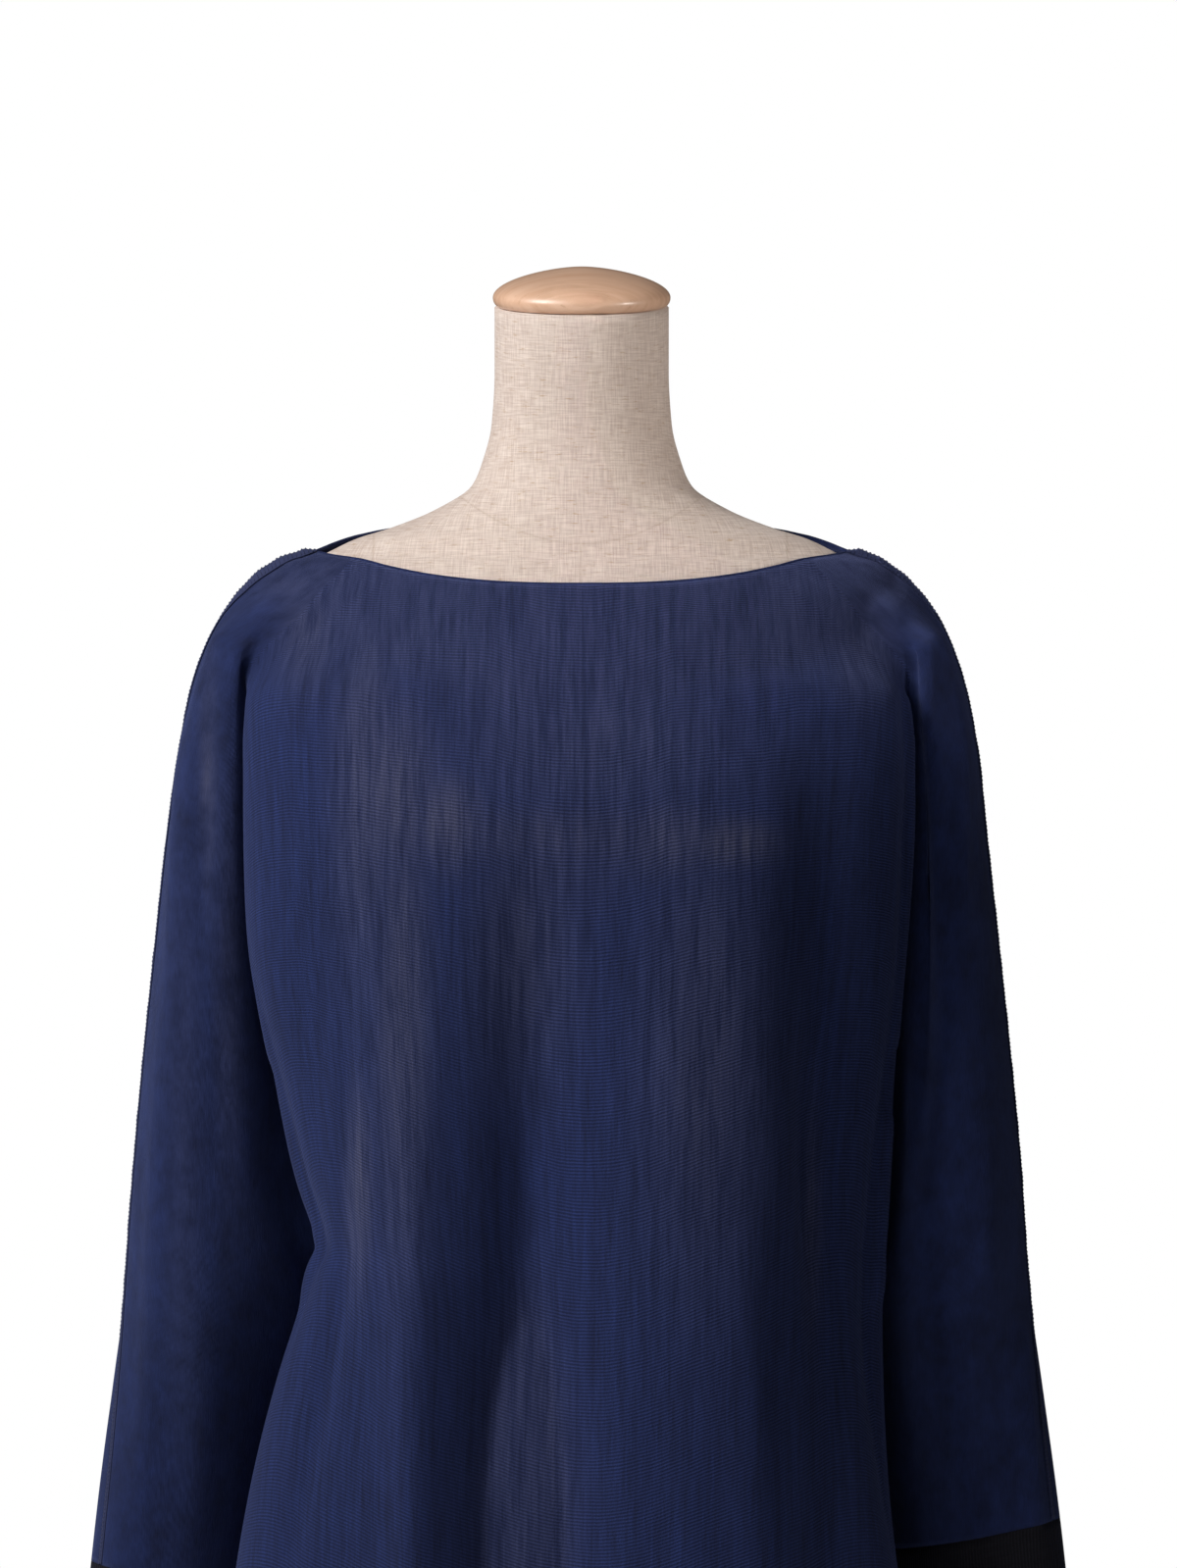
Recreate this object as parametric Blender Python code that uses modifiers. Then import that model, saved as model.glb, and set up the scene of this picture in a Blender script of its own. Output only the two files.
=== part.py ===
"""Boat neck sweater on a limbless dress form.

The sweater is a fine jersey pullover in a dolman cut: front and back panels that each take in the body and
half of both sleeves, black cuffs, and an overlocked seam that stands out along shoulders and sleeves. It
rests on the shoulders and chest of a linen torso with a wooden neck cap, a post and a round base.

Metres, +Z up, the front faces -Y. The origin is the middle of the base's underside. Left and right are the
wearer's, so the right sleeve is at -X. A "drop" is a depth below the shoulder line.
"""
import math

import bmesh
import bpy
import numpy as np
from mathutils import Matrix

SHOULDER_HEIGHT = 0.86
CLOTH = 0.0012  # thickness of the cloth wall
SEAM_GAP = 0.0004  # between the two panels along a seam
CLOTH_CLEARANCE = 0.0019  # from the form to the middle of the wall, where the cloth rests
COLLECTION = "boat_neck_sweater_on_dress_form"

# ---------------------------------------------------------------- dress form

# One row a level: half of the width, then how far front and back reach from the centre line.
FORM_COLUMNS = ("drop", "half_width", "front", "back", "centre", "squareness")
FORM_LEVELS = (
    (-0.1363, 0.0497, 0.0500, 0.0500, -0.0060, 2.00),
    (-0.1000, 0.0497, 0.0500, 0.0500, -0.0010, 2.00),
    (-0.0700, 0.0515, 0.0510, 0.0520, 0.0050, 2.00),
    (-0.0480, 0.0571, 0.0540, 0.0560, 0.0090, 2.00),
    (-0.0350, 0.0630, 0.0570, 0.0590, 0.0100, 2.00),
    (-0.0213, 0.0840, 0.0600, 0.0630, 0.0110, 1.90),
    (-0.0100, 0.1100, 0.0630, 0.0680, 0.0110, 1.80),
    (-0.0035, 0.1290, 0.0650, 0.0730, 0.0110, 1.80),
    (0.0060, 0.1520, 0.0690, 0.0790, 0.0110, 1.85),
    (0.0110, 0.1670, 0.0730, 0.0830, 0.0110, 1.90),
    (0.0180, 0.1765, 0.0780, 0.0870, 0.0110, 1.95),
    (0.0300, 0.1825, 0.0850, 0.0910, 0.0100, 2.05),
    (0.0500, 0.1840, 0.0930, 0.0960, 0.0080, 2.10),
    (0.0700, 0.1810, 0.1010, 0.1000, 0.0050, 2.20),
    (0.1000, 0.1730, 0.1120, 0.1020, 0.0020, 2.30),
    (0.1400, 0.1600, 0.1240, 0.1020, 0.0000, 2.40),
    (0.1750, 0.1500, 0.1290, 0.0990, 0.0000, 2.40),
    (0.2100, 0.1420, 0.1220, 0.0950, 0.0000, 2.40),
    (0.2600, 0.1290, 0.1040, 0.0870, 0.0000, 2.30),
    (0.3400, 0.1130, 0.0880, 0.0780, 0.0000, 2.20),
    (0.4000, 0.1230, 0.0930, 0.0860, 0.0000, 2.20),
    (0.4700, 0.1440, 0.1030, 0.1010, 0.0000, 2.30),
    (0.5400, 0.1590, 0.1090, 0.1110, 0.0000, 2.30),
    (0.6100, 0.1630, 0.1080, 0.1120, 0.0000, 2.30),
    (0.6800, 0.1570, 0.1020, 0.1060, 0.0000, 2.30),
    (0.7050, 0.1500, 0.0960, 0.1000, 0.0000, 2.30),
    (0.7120, 0.1400, 0.0870, 0.0910, 0.0000, 2.30),
)
FORM_SIDES = 44
NECK_TILT = math.radians(8.4)  # the neck's top leans forward
CAP_RADIUS = 0.0507
CAP_HEIGHT = 0.0229
CAP_RIM = 0.0054
CAP_SEAT = 0.0003

# ---------------------------------------------------------------- stand

BASE_RADIUS = 0.135
BASE_THICKNESS = 0.022
POST_RADIUS = 0.0125
COLLAR_RADIUS = 0.026
COLLAR_HEIGHT = 0.012
STAND_GAP = 0.0003

# ---------------------------------------------------------------- sweater

NECK_CORNER = (0.1515, 0.0022)  # half of the neck opening's width, and its corner's drop
NECK_DIP = 0.0205  # front neckline, from its corner to its middle
NECK_RISE = 0.0165  # back neckline, from its corner up to its middle
SEAM_Y = 0.0080  # the shoulder seam's place between front and back

# The sweater's sections, one a row. Places are given for the right side, as distances from the middle, and
# columns that start with left_ are the left side's own.
#   seam_drop, seam: outer seam of the sleeve; body_drop: the same section at the middle of the body
#   front, back: how far the body's cloth stands out; edge: body's front edge beside the sleeve
#   fold, fold_front, fold_back: bottom of the fold between body and sleeve, front and back
# Over the shoulder the sections pass from the neckline to the first full one, held by the seam's line.
SHOULDER_COLUMNS = ("seam_drop", "seam", "left_seam", "share")
SHOULDER_SECTIONS = (
    (0.0060, 0.1630, 0.1605, 0.25),
    (0.0110, 0.1750, 0.1715, 0.50),
    (0.0210, 0.1895, 0.1860, 0.75),
)
SECTION_COLUMNS = (
    "seam_drop", "seam", "body_drop", "front", "back", "edge",
    "fold", "fold_front", "fold_back", "left_seam", "left_edge", "left_fold",
)
SECTIONS = (
    (0.0400, 0.2050, 0.082, 0.103, 0.104, 0.186, 0.1895, -0.0390, 0.0500, 0.2025, 0.180, 0.1850),
    (0.0700, 0.2190, 0.106, 0.116, 0.108, 0.190, 0.1890, -0.0380, 0.0490, 0.2155, 0.184, 0.1840),
    (0.1100, 0.2280, 0.137, 0.128, 0.109, 0.190, 0.1860, -0.0340, 0.0470, 0.2245, 0.185, 0.1810),
    (0.1650, 0.2360, 0.182, 0.134, 0.108, 0.190, 0.1800, -0.0280, 0.0440, 0.2305, 0.184, 0.1760),
    (0.2250, 0.2425, 0.234, 0.133, 0.106, 0.187, 0.1720, -0.0210, 0.0400, 0.2372, 0.181, 0.1690),
    (0.3000, 0.2503, 0.304, 0.130, 0.105, 0.175, 0.1590, -0.0120, 0.0350, 0.2450, 0.174, 0.1600),
    (0.3600, 0.2556, 0.362, 0.128, 0.105, 0.161, 0.1470, -0.0050, 0.0310, 0.2505, 0.169, 0.1520),
    (0.3880, 0.2578, 0.389, 0.127, 0.106, 0.153, 0.1400, 0.0020, 0.0270, 0.2523, 0.167, 0.1480),
    (0.4000, 0.2586, 0.400, 0.127, 0.106, 0.150, 0.1360, 0.0150, 0.0150, 0.2531, 0.166, 0.1450),
)
# Below the underarm the body and each sleeve are tubes of their own. The sleeve lies back beside the body:
# inner and inner_y place its inner seam, belly is how far a layer stands off the line between its seams, and
# rise is how steeply its sections climb to the outer seam, because the sleeve hangs outwards.
BODY_COLUMNS = ("drop", "front", "back", "edge", "side", "left_edge", "left_side")
BODY_SECTIONS = (
    (0.406, 0.127, 0.106, 0.151, 0.1345, 0.166, 0.1435),
    (0.430, 0.126, 0.107, 0.158, 0.1430, 0.165, 0.1480),
    (0.472, 0.126, 0.110, 0.172, 0.1600, 0.166, 0.1560),
    (0.528, 0.127, 0.115, 0.186, 0.1760, 0.171, 0.1640),
    (0.600, 0.128, 0.120, 0.198, 0.1880, 0.181, 0.1740),
    (0.660, 0.130, 0.124, 0.203, 0.1930, 0.188, 0.1810),
)
SLEEVE_COLUMNS = (
    "drop", "seam", "inner", "inner_y", "belly_front", "belly_back", "rise",
    "left_drop", "left_seam", "left_inner",
)
SLEEVE_SECTIONS = (
    (0.406, 0.2590, 0.1400, 0.0170, 0.0460, 0.0345, 0.00, 0.406, 0.2535, 0.1490),
    (0.430, 0.2607, 0.1530, 0.0290, 0.0450, 0.0350, 0.02, 0.430, 0.2555, 0.1570),
    (0.472, 0.2637, 0.1710, 0.0480, 0.0410, 0.0360, 0.06, 0.472, 0.2590, 0.1650),
    (0.528, 0.2683, 0.1840, 0.0640, 0.0360, 0.0340, 0.14, 0.518, 0.2630, 0.1710),
    (0.600, 0.2750, 0.1930, 0.0760, 0.0310, 0.0310, 0.22, 0.577, 0.2690, 0.1770),
    (0.675, 0.2820, 0.2000, 0.0790, 0.0290, 0.0290, 0.22, 0.652, 0.2770, 0.1870),
)
# Front and back of the sleeve's cloth above the underarm, and the turn where the body goes to its side.
LOBE_COLUMNS = ("drop", "front", "back", "edge_front", "edge_back", "back_in")
LOBE = (
    (0.040, -0.041, 0.051, -0.046, 0.058, 0.000),
    (0.120, -0.045, 0.054, -0.048, 0.058, 0.002),
    (0.400, -0.037, 0.046, -0.044, 0.052, 0.006),
    (0.600, -0.037, 0.046, -0.046, 0.056, 0.012),
)
SIDE_SEAM_Y = 0.0150
UNDERARM_EASE = {"right": 0.010, "left": 0.0}  # keeps the pinch at the underarm near the seam

# The largest soft folds on the body, one a row: its layer, x and drop at its top, x and drop at its bottom,
# its half width, and how far it stands out (below zero for a trough).
FOLDS = (
    ("front", -0.125, 0.22, -0.138, 0.46, 0.014, 0.0035),
    ("front", -0.062, 0.34, -0.066, 0.70, 0.026, -0.0060),
    ("front", 0.012, 0.38, 0.020, 0.70, 0.030, 0.0050),
    ("front", 0.128, 0.30, 0.146, 0.64, 0.013, 0.0050),
    ("front", 0.106, 0.36, 0.118, 0.66, 0.012, -0.0045),
    ("back", -0.070, 0.26, -0.085, 0.70, 0.026, -0.0070),
    ("back", -0.010, 0.30, -0.004, 0.70, 0.028, 0.0060),
    ("back", 0.072, 0.24, 0.080, 0.70, 0.024, -0.0065),
    ("back", -0.132, 0.18, -0.150, 0.60, 0.015, 0.0040),
    ("back", 0.130, 0.20, 0.146, 0.62, 0.015, 0.0040),
)

# How finely the solids are cut: steps between named points across, and between sections down to the underarm.
STEPS_ACROSS = 2
STEPS_DOWN = 2
SEAM_RIDGE_TOP = 0.0046  # how far the overlocked allowance stands out at the neck
SEAM_RIDGE_LOW = 0.0022  # and down the sleeve
SEAM_RIDGE_WIDTH = 0.0022
RIDGE_SEAT = 0.0004  # from the panels' outer faces to the ridge

SIDES = {"right": -1.0, "left": 1.0}
OUT = {"front": -1.0, "back": 1.0}
BODY_ANGLES = np.radians((90.0, 73.0, 56.0, 38.0, 19.0, 0.0))
SLEEVE_KEYS = 6  # named points across a sleeve's layer
BODY_KEYS = 1 + len(BODY_ANGLES)  # and from the fold beside it to the middle of the body
LOBE_COLUMN = 2 * STEPS_ACROSS  # the named point on the sleeve's front or back
SHOULDER_ROWS = (len(SHOULDER_SECTIONS) + 1) * STEPS_DOWN
UNDERARM_ROW = (len(SHOULDER_SECTIONS) + len(SECTIONS)) * STEPS_DOWN
CUFF_ROW = UNDERARM_ROW + len(SLEEVE_SECTIONS) - 1


# ---------------------------------------------------------------- tables and curves


def table(names, rows):
    """A short table of rows as one array for each named column."""
    return dict(zip(names, np.array(rows, dtype=float).T))


def glide(at, knots, values):
    """Smooth curve through a table's values that doesn't overshoot them."""
    knots, values = np.asarray(knots, float), np.asarray(values, float)
    step = np.diff(knots)
    rise = np.diff(values) / step
    slope = np.concatenate([rise[:1], np.zeros(len(values) - 2), rise[-1:]])
    same_way = rise[1:] * rise[:-1] > 0
    total = np.where(same_way, rise[1:] + rise[:-1], 1.0)
    slope[1:-1] = np.where(same_way, 2.0 * rise[1:] * rise[:-1] / total, 0.0)
    i = np.clip(np.searchsorted(knots, at) - 1, 0, len(step) - 1)
    t = np.clip((at - knots[i]) / step[i], 0.0, 1.0)
    blend = 3.0 * t**2 - 2.0 * t**3
    start, end = t**3 - 2.0 * t**2 + t, t**3 - t**2
    return values[i] * (1 - blend) + values[i + 1] * blend + step[i] * (slope[i] * start + slope[i + 1] * end)


def smooth_through(points, steps):
    """Rows of points, with `steps` smooth steps from each row to the next (chord-length Hermite curves)."""
    points = np.asarray(points, float)
    chord = np.linalg.norm(np.diff(points, axis=0), axis=-1, keepdims=True) + 1e-9
    heading = np.diff(points, axis=0) / chord
    inner = (heading[:-1] * chord[1:] + heading[1:] * chord[:-1]) / (chord[1:] + chord[:-1])
    tangent = np.concatenate([heading[:1], inner, heading[-1:]])
    rows = []
    for i in range(len(points) - 1):
        for k in range(steps):
            t = k / steps
            blend = 3 * t**2 - 2 * t**3
            start, end = t**3 - 2 * t**2 + t, t**3 - t**2
            rows.append(
                points[i] * (1 - blend)
                + points[i + 1] * blend
                + chord[i] * (tangent[i] * start + tangent[i + 1] * end)
            )
    rows.append(points[-1])
    return np.array(rows)


# ---------------------------------------------------------------- the form as a shape that cloth rests on


FORM = table(FORM_COLUMNS, FORM_LEVELS)
LOBES = table(LOBE_COLUMNS, LOBE)


def form_value(points):
    """Below zero inside the torso, above zero outside it."""
    drop = SHOULDER_HEIGHT - points[..., 2]
    level = {name: glide(drop, FORM["drop"], FORM[name]) for name in FORM_COLUMNS[1:]}
    y = points[..., 1] - level["centre"]
    depth = np.where(y < 0, level["front"], level["back"])
    power = level["squareness"]
    across = (np.abs(points[..., 0]) / level["half_width"]) ** power
    through = (np.abs(y) / depth) ** power
    return (across + through) ** (1.0 / power) - 1.0


def form_gap(points):
    """Distance from the torso's surface, and the way out of it."""
    value = form_value(points)
    reach = 0.0004
    steps = [form_value(points + offset) - form_value(points - offset) for offset in np.eye(3) * reach]
    gradient = np.stack(steps, axis=-1) / (2 * reach)
    size = np.linalg.norm(gradient, axis=-1, keepdims=True) + 1e-9
    return value / size[..., 0], gradient / size


def rest_on_form(points, hold):
    """Moves cloth out of the torso; where hold is 1 it also draws it down onto the torso."""
    for _ in range(5):
        gap, out = form_gap(points)
        short = CLOTH_CLEARANCE - gap
        move = np.maximum(short, 0.0) + hold * np.minimum(short, 0.0)
        points = points + out * np.clip(move, -0.01, 0.01)[..., None]
    return points


# ---------------------------------------------------------------- the sweater's surface


def neckline(x, layer):
    """Drop of the neckline at a distance x from the middle."""
    way_out = np.abs(x) / NECK_CORNER[0]
    if layer == "front":
        return NECK_CORNER[1] + NECK_DIP * (1.0 - way_out**2.3)
    return NECK_CORNER[1] - NECK_RISE * (1.0 - way_out**6)


def place(x, y, drop):
    return np.array([x, y, SHOULDER_HEIGHT - drop])


def neckline_points(layer, sleeve_keys, body_keys):
    """The top row, from the corner to the middle, with as many points as the sections have."""
    shares = np.concatenate([np.linspace(1.0, 0.86, sleeve_keys), np.linspace(0.86, 0.0, body_keys + 1)[1:]])
    forward = {"front": -0.070, "back": 0.084}[layer]
    rows = []
    for share in shares:
        y = SEAM_Y + (forward - SEAM_Y) * (1.0 - share**2.4) ** 0.62
        rows.append(place(NECK_CORNER[0] * share, y, neckline(NECK_CORNER[0] * share, layer)))
    return np.array(rows)


def body_arc(edge, edge_y, depth, drop, side):
    """From the body's edge beside the sleeve round to its middle."""
    power = 2.0 / 2.4
    ease = UNDERARM_EASE[side] * math.exp(-(((drop - 0.400) / 0.030) ** 2))
    rows = []
    for angle in BODY_ANGLES:
        x = (edge + ease * math.cos(angle)) * math.sin(angle) ** power
        y = edge_y + (depth - edge_y) * max(0.0, math.cos(angle)) ** power
        rows.append(place(x, y, drop))
    return rows


def turns(layer, drop):
    """The sleeve's and the body's turns at a drop, and how far the back's edge lies in from the front's."""
    at = {name: float(glide(drop, LOBES["drop"], LOBES[name])) for name in LOBE_COLUMNS[1:]}
    inward = at["back_in"] if layer == "back" else 0.0
    return at[layer], at["edge_" + layer], inward


def sided(row, side):
    """The row's values for one side: a left_ column stands in for its plain one."""
    if side == "right":
        return row
    return row | {name[5:]: value for name, value in row.items() if name.startswith("left_")}


def full_section(row, layer, side):
    """Named points of one section above the underarm, from the sleeve's outer seam to the middle."""
    row = sided(row, side)
    out = OUT[layer]
    lobe_y, edge_y, inward = turns(layer, row["body_drop"])
    seam, edge, fold = row["seam"], row["edge"] - inward, row["fold"]
    seam_y = SEAM_Y + out * SEAM_GAP / 2
    fold_y = row["fold_" + layer]
    width = seam - edge

    def drop(share):
        return row["seam_drop"] + (row["body_drop"] - row["seam_drop"]) * share

    lip = edge + 0.30 * width
    sleeve = [
        place(seam, seam_y, drop(0.0)),
        place(seam - 0.0008, seam_y + out * 0.0060, drop(0.03)),
        place(seam - 0.32 * width, seam_y + 0.93 * (lobe_y - seam_y), drop(0.15)),
        place(lip, lobe_y + 0.04 * (fold_y - lobe_y), drop(0.32)),
        place(fold + 0.12 * (lip - fold) + 0.002, fold_y + 0.36 * (lobe_y - fold_y), drop(0.45)),
        place(fold, fold_y, drop(0.55)),
    ]
    turn = place(fold + 0.35 * (edge - fold) - 0.0012, fold_y + 0.48 * (edge_y - fold_y), drop(0.65))
    body = body_arc(edge, edge_y, out * row[layer], drop(1.0), side)
    body[0][2] = SHOULDER_HEIGHT - drop(0.76)
    body[1][2] = SHOULDER_HEIGHT - drop(0.90)
    return np.array(sleeve + [turn] + body)


def underarm_section(row, layer, side):
    """The last section above the underarm: its fold reaches the seam, a gap short of the other panel."""
    points = full_section(row, layer, side)
    points[SLEEVE_KEYS - 1, 1] += OUT[layer] * SEAM_GAP
    return points


def lower_body(row, layer, side):
    """One section of the body below the underarm, from the side seam to the middle."""
    row = sided(row, side)
    out = OUT[layer]
    _, edge_y, inward = turns(layer, row["drop"])
    edge, side_x = row["edge"] - inward, row["side"]
    seam_y = SIDE_SEAM_Y + out * SEAM_GAP / 2
    half = place(side_x + 0.40 * (edge - side_x), seam_y + 0.50 * (edge_y - seam_y), row["drop"])
    arc = body_arc(edge, edge_y, out * row[layer], row["drop"], side)
    return [place(side_x, seam_y, row["drop"]), half] + arc


def lower_sleeve(row, layer, side):
    """One section of a sleeve below the underarm, from its outer seam to its inner seam."""
    row = sided(row, side)
    outer = np.array([row["seam"], SEAM_Y])
    inner = np.array([row["inner"], row["inner_y"]])
    reach = np.linalg.norm(inner - outer)
    along = (inner - outer) / reach
    aside = np.array([along[1], -along[0]]) * OUT[layer]
    belly, open_up = row["belly_" + layer], np.clip((0.50 - row["drop"]) / 0.09, 0.0, 1.0)
    shape = (
        (0.0, 0.0), (0.006, 0.0060), (0.30, belly), (0.67, (0.86 + 0.18 * open_up) * belly),
        (0.98, (0.28 + 0.08 * open_up) * belly), (1.0, open_up * SEAM_GAP / 2),
    )
    rows = []
    for share, stand in shape:
        spot = outer + along * reach * share + aside * (stand + SEAM_GAP / 2)
        rows.append(place(spot[0], spot[1], row["drop"] - row["rise"] * (spot[0] - inner[0])))
    return rows


def soft_folds(points, layer):
    """Stands the body's cloth out or in along each soft fold."""
    drop = SHOULDER_HEIGHT - points[..., 2]
    for x_top, top, x_bottom, bottom, width, depth in [row[1:] for row in FOLDS if row[0] == layer]:
        along = np.clip((drop - top) / (bottom - top), 0.0, 1.0)
        line = x_top + (x_bottom - x_top) * along
        fade = np.sin(np.pi * along**0.7) if bottom < 0.66 else np.sin(np.pi / 2 * along)
        points[..., 1] += OUT[layer] * depth * fade * np.exp(-(((points[..., 0] - line) / width) ** 2))
    return points


def settled(points):
    """Rests a net on the form: drawn down onto it over the shoulders, and only kept clear of it below."""
    row = np.arange(len(points))[:, None]
    hold = np.clip(1.25 - row / (SHOULDER_ROWS * 1.3), 0.0, 1.0)
    on_shoulder = np.clip((0.188 - np.abs(points[..., 0])) / 0.022, 0.0, 1.0)
    return rest_on_form(points, hold * on_shoulder)


def refine(net):
    """Smooth rows and columns through a net's named points, with no steps down below the underarm."""
    across = np.swapaxes(smooth_through(np.swapaxes(net, 0, 1), STEPS_ACROSS), 0, 1)
    fine = smooth_through(across, STEPS_DOWN)
    return np.concatenate([fine[:UNDERARM_ROW], fine[UNDERARM_ROW::STEPS_DOWN]])


def half_net(layer, side):
    """Named points of half a panel above the underarm: neckline, shoulder, then the full sections."""
    full = [dict(zip(SECTION_COLUMNS, row)) for row in SECTIONS]
    rows = [full_section(row, layer, side) for row in full[:-1]] + [underarm_section(full[-1], layer, side)]
    top = neckline_points(layer, SLEEVE_KEYS, BODY_KEYS)
    pull = np.clip(1.0 - np.arange(len(top)) / (SLEEVE_KEYS + 1.0), 0.0, 1.0)[:, None]
    between = []
    for row in [sided(dict(zip(SHOULDER_COLUMNS, row)), side) for row in SHOULDER_SECTIONS]:
        points = top + (rows[0] - top) * row["share"]
        seam = place(row["seam"], SEAM_Y + OUT[layer] * SEAM_GAP / 2, row["seam_drop"])
        between.append(points + pull * (seam - points[0]))
    top[0, 1] = SEAM_Y + OUT[layer] * SEAM_GAP / 2
    return np.array([top] + between + rows)


def cloth_nets(layer):
    """Rows of points for the body and for both sleeves of one panel. The body's run from the neckline to the
    hem, and a sleeve's from its shoulder to the end of its cuff."""
    body, sleeves = {}, {}
    for side, sign in SIDES.items():
        upper = half_net(layer, side)
        lower = [lower_body(dict(zip(BODY_COLUMNS, row)), layer, side) for row in BODY_SECTIONS]
        hang = [lower_sleeve(dict(zip(SLEEVE_COLUMNS, row)), layer, side) for row in SLEEVE_SECTIONS]
        turned = np.array([sign, 1.0, 1.0])
        body[side] = np.concatenate([upper[:, SLEEVE_KEYS - 1 :], np.array(lower)]) * turned
        sleeves[side] = np.concatenate([upper[:, :SLEEVE_KEYS], np.array(hang)]) * turned
    whole = np.concatenate([body["right"], body["left"][:, -2::-1]], axis=1)
    whole = settled(soft_folds(refine(whole), layer))
    for side, column in (("right", 0), ("left", -1)):
        net = settled(refine(sleeves[side]))
        net[: UNDERARM_ROW + 1, -1] = whole[: UNDERARM_ROW + 1, column]
        net[: UNDERARM_ROW + 1, 0, 1] = SEAM_Y + OUT[layer] * SEAM_GAP / 2
        sleeves[side] = net
    return whole, sleeves


# ---------------------------------------------------------------- meshes and objects


def grid_of(bm, points):
    """A grid of faces with its vertices on the points."""
    rows, columns = points.shape[:2]
    for vert in bmesh.ops.create_grid(bm, x_segments=columns - 1, y_segments=rows - 1, size=1.0)["verts"]:
        i = round((vert.co.y + 1.0) / 2.0 * (rows - 1))
        j = round((vert.co.x + 1.0) / 2.0 * (columns - 1))
        vert.co = points[i, j]


def close_rings(bm, rings):
    """A skin over rings of vertices, with a face over each end."""
    for upper, lower in zip(rings, rings[1:]):
        for j in range(len(upper)):
            k = (j + 1) % len(upper)
            bm.faces.new((upper[j], upper[k], lower[k], lower[j]))
    bm.faces.new(rings[0])
    bm.faces.new(rings[-1])


def finish(name, bm, finish_material, facing=0.0, smooth=True):
    """Puts a finished mesh into the scene as one named object. Open cloth faces the way `facing` along Y."""
    bmesh.ops.recalc_face_normals(bm, faces=bm.faces)
    foremost = max(bm.faces, key=lambda face: facing * face.calc_center_median().y)
    if foremost.normal.y * facing < 0:
        bmesh.ops.reverse_faces(bm, faces=bm.faces)
    mesh = bpy.data.meshes.new(name)
    bm.to_mesh(mesh)
    bm.free()
    if smooth:
        mesh.shade_smooth()
    mesh.materials.append(finish_material)
    thing = bpy.data.objects.new(name, mesh)
    bpy.data.collections[COLLECTION].objects.link(thing)
    return thing


def cloth_object(name, bm, jersey, facing):
    """Welds the grids of a piece of cloth and gives it its thickness, half of it on each side."""
    bmesh.ops.remove_doubles(bm, verts=bm.verts, dist=0.00005)
    wall = finish(name, bm, jersey, facing).modifiers.new("cloth wall", "SOLIDIFY")
    wall.thickness = CLOTH
    wall.offset = 0.0
    wall.use_even_offset = True
    wall.thickness_clamp = 2.0


def material(name, colour, roughness, metallic=0.0):
    made = bpy.data.materials.new(name)
    made.use_nodes = True
    shader = made.node_tree.nodes["Principled BSDF"]
    shader.inputs["Base Color"].default_value = (*colour, 1.0)
    shader.inputs["Roughness"].default_value = roughness
    shader.inputs["Metallic"].default_value = metallic
    return made


def make_torso(linen):
    """The torso is a loft through its levels. The top levels lean with the neck, and both ends are closed."""
    drops = FORM["drop"]
    angles = np.linspace(0.0, 2 * np.pi, FORM_SIDES, endpoint=False)
    bm = bmesh.new()
    rings = []
    for drop in drops:
        level = {name: float(glide(drop, FORM["drop"], FORM[name])) for name in FORM_COLUMNS[1:]}
        lean = NECK_TILT * np.clip((-drop - 0.06) / 0.06, 0.0, 1.0)
        power = 2.0 / level["squareness"]
        ring = []
        for angle in angles:
            c, s = math.cos(angle), math.sin(angle)
            x = level["half_width"] * math.copysign(abs(c) ** power, c)
            depth = level["front"] if s < 0 else level["back"]
            y = depth * math.copysign(abs(s) ** power, s)
            height = SHOULDER_HEIGHT - drop + y * math.tan(lean)
            ring.append(bm.verts.new((x, y + level["centre"], height)))
        rings.append(ring)
    close_rings(bm, rings)
    finish("form_torso", bm, linen)


def turned(name, profile, steps, finish_material, matrix=None):
    """A turned piece: a profile from top to bottom, spun round Z."""
    mesh = bpy.data.meshes.new(name)
    mesh.from_pydata([(r, 0.0, z) for r, z in profile], [(i, i + 1) for i in range(len(profile) - 1)], [])
    mesh.materials.append(finish_material)
    thing = bpy.data.objects.new(name, mesh)
    bpy.data.collections[COLLECTION].objects.link(thing)
    spin = thing.modifiers.new("turned", "SCREW")
    spin.steps = spin.render_steps = steps
    spin.use_merge_vertices = True
    spin.merge_threshold = 0.00005
    spin.use_smooth_shade = True
    if matrix is not None:
        thing.matrix_world = matrix


def cap_profile():
    """A low dome over a rounded rim, flat underneath."""
    rows = [(0.0, CAP_HEIGHT)]
    for angle in np.radians(np.linspace(80.0, 0.0, 9)):
        rows.append((CAP_RADIUS * math.cos(angle) ** 1.5, CAP_RIM + (CAP_HEIGHT - CAP_RIM) * math.sin(angle)))
    for angle in np.radians((30.0, 60.0, 85.0)):
        rows.append((CAP_RADIUS - 0.0035 * (1 - math.cos(angle)), CAP_RIM * (1 - math.sin(angle))))
    rows += [(CAP_RADIUS - 0.0045, 0.0), (0.0, 0.0)]
    return rows


def neck_top():
    """Middle of the neck's leaning top."""
    level = FORM_LEVELS[0]
    return level[4], SHOULDER_HEIGHT - level[0]


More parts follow.
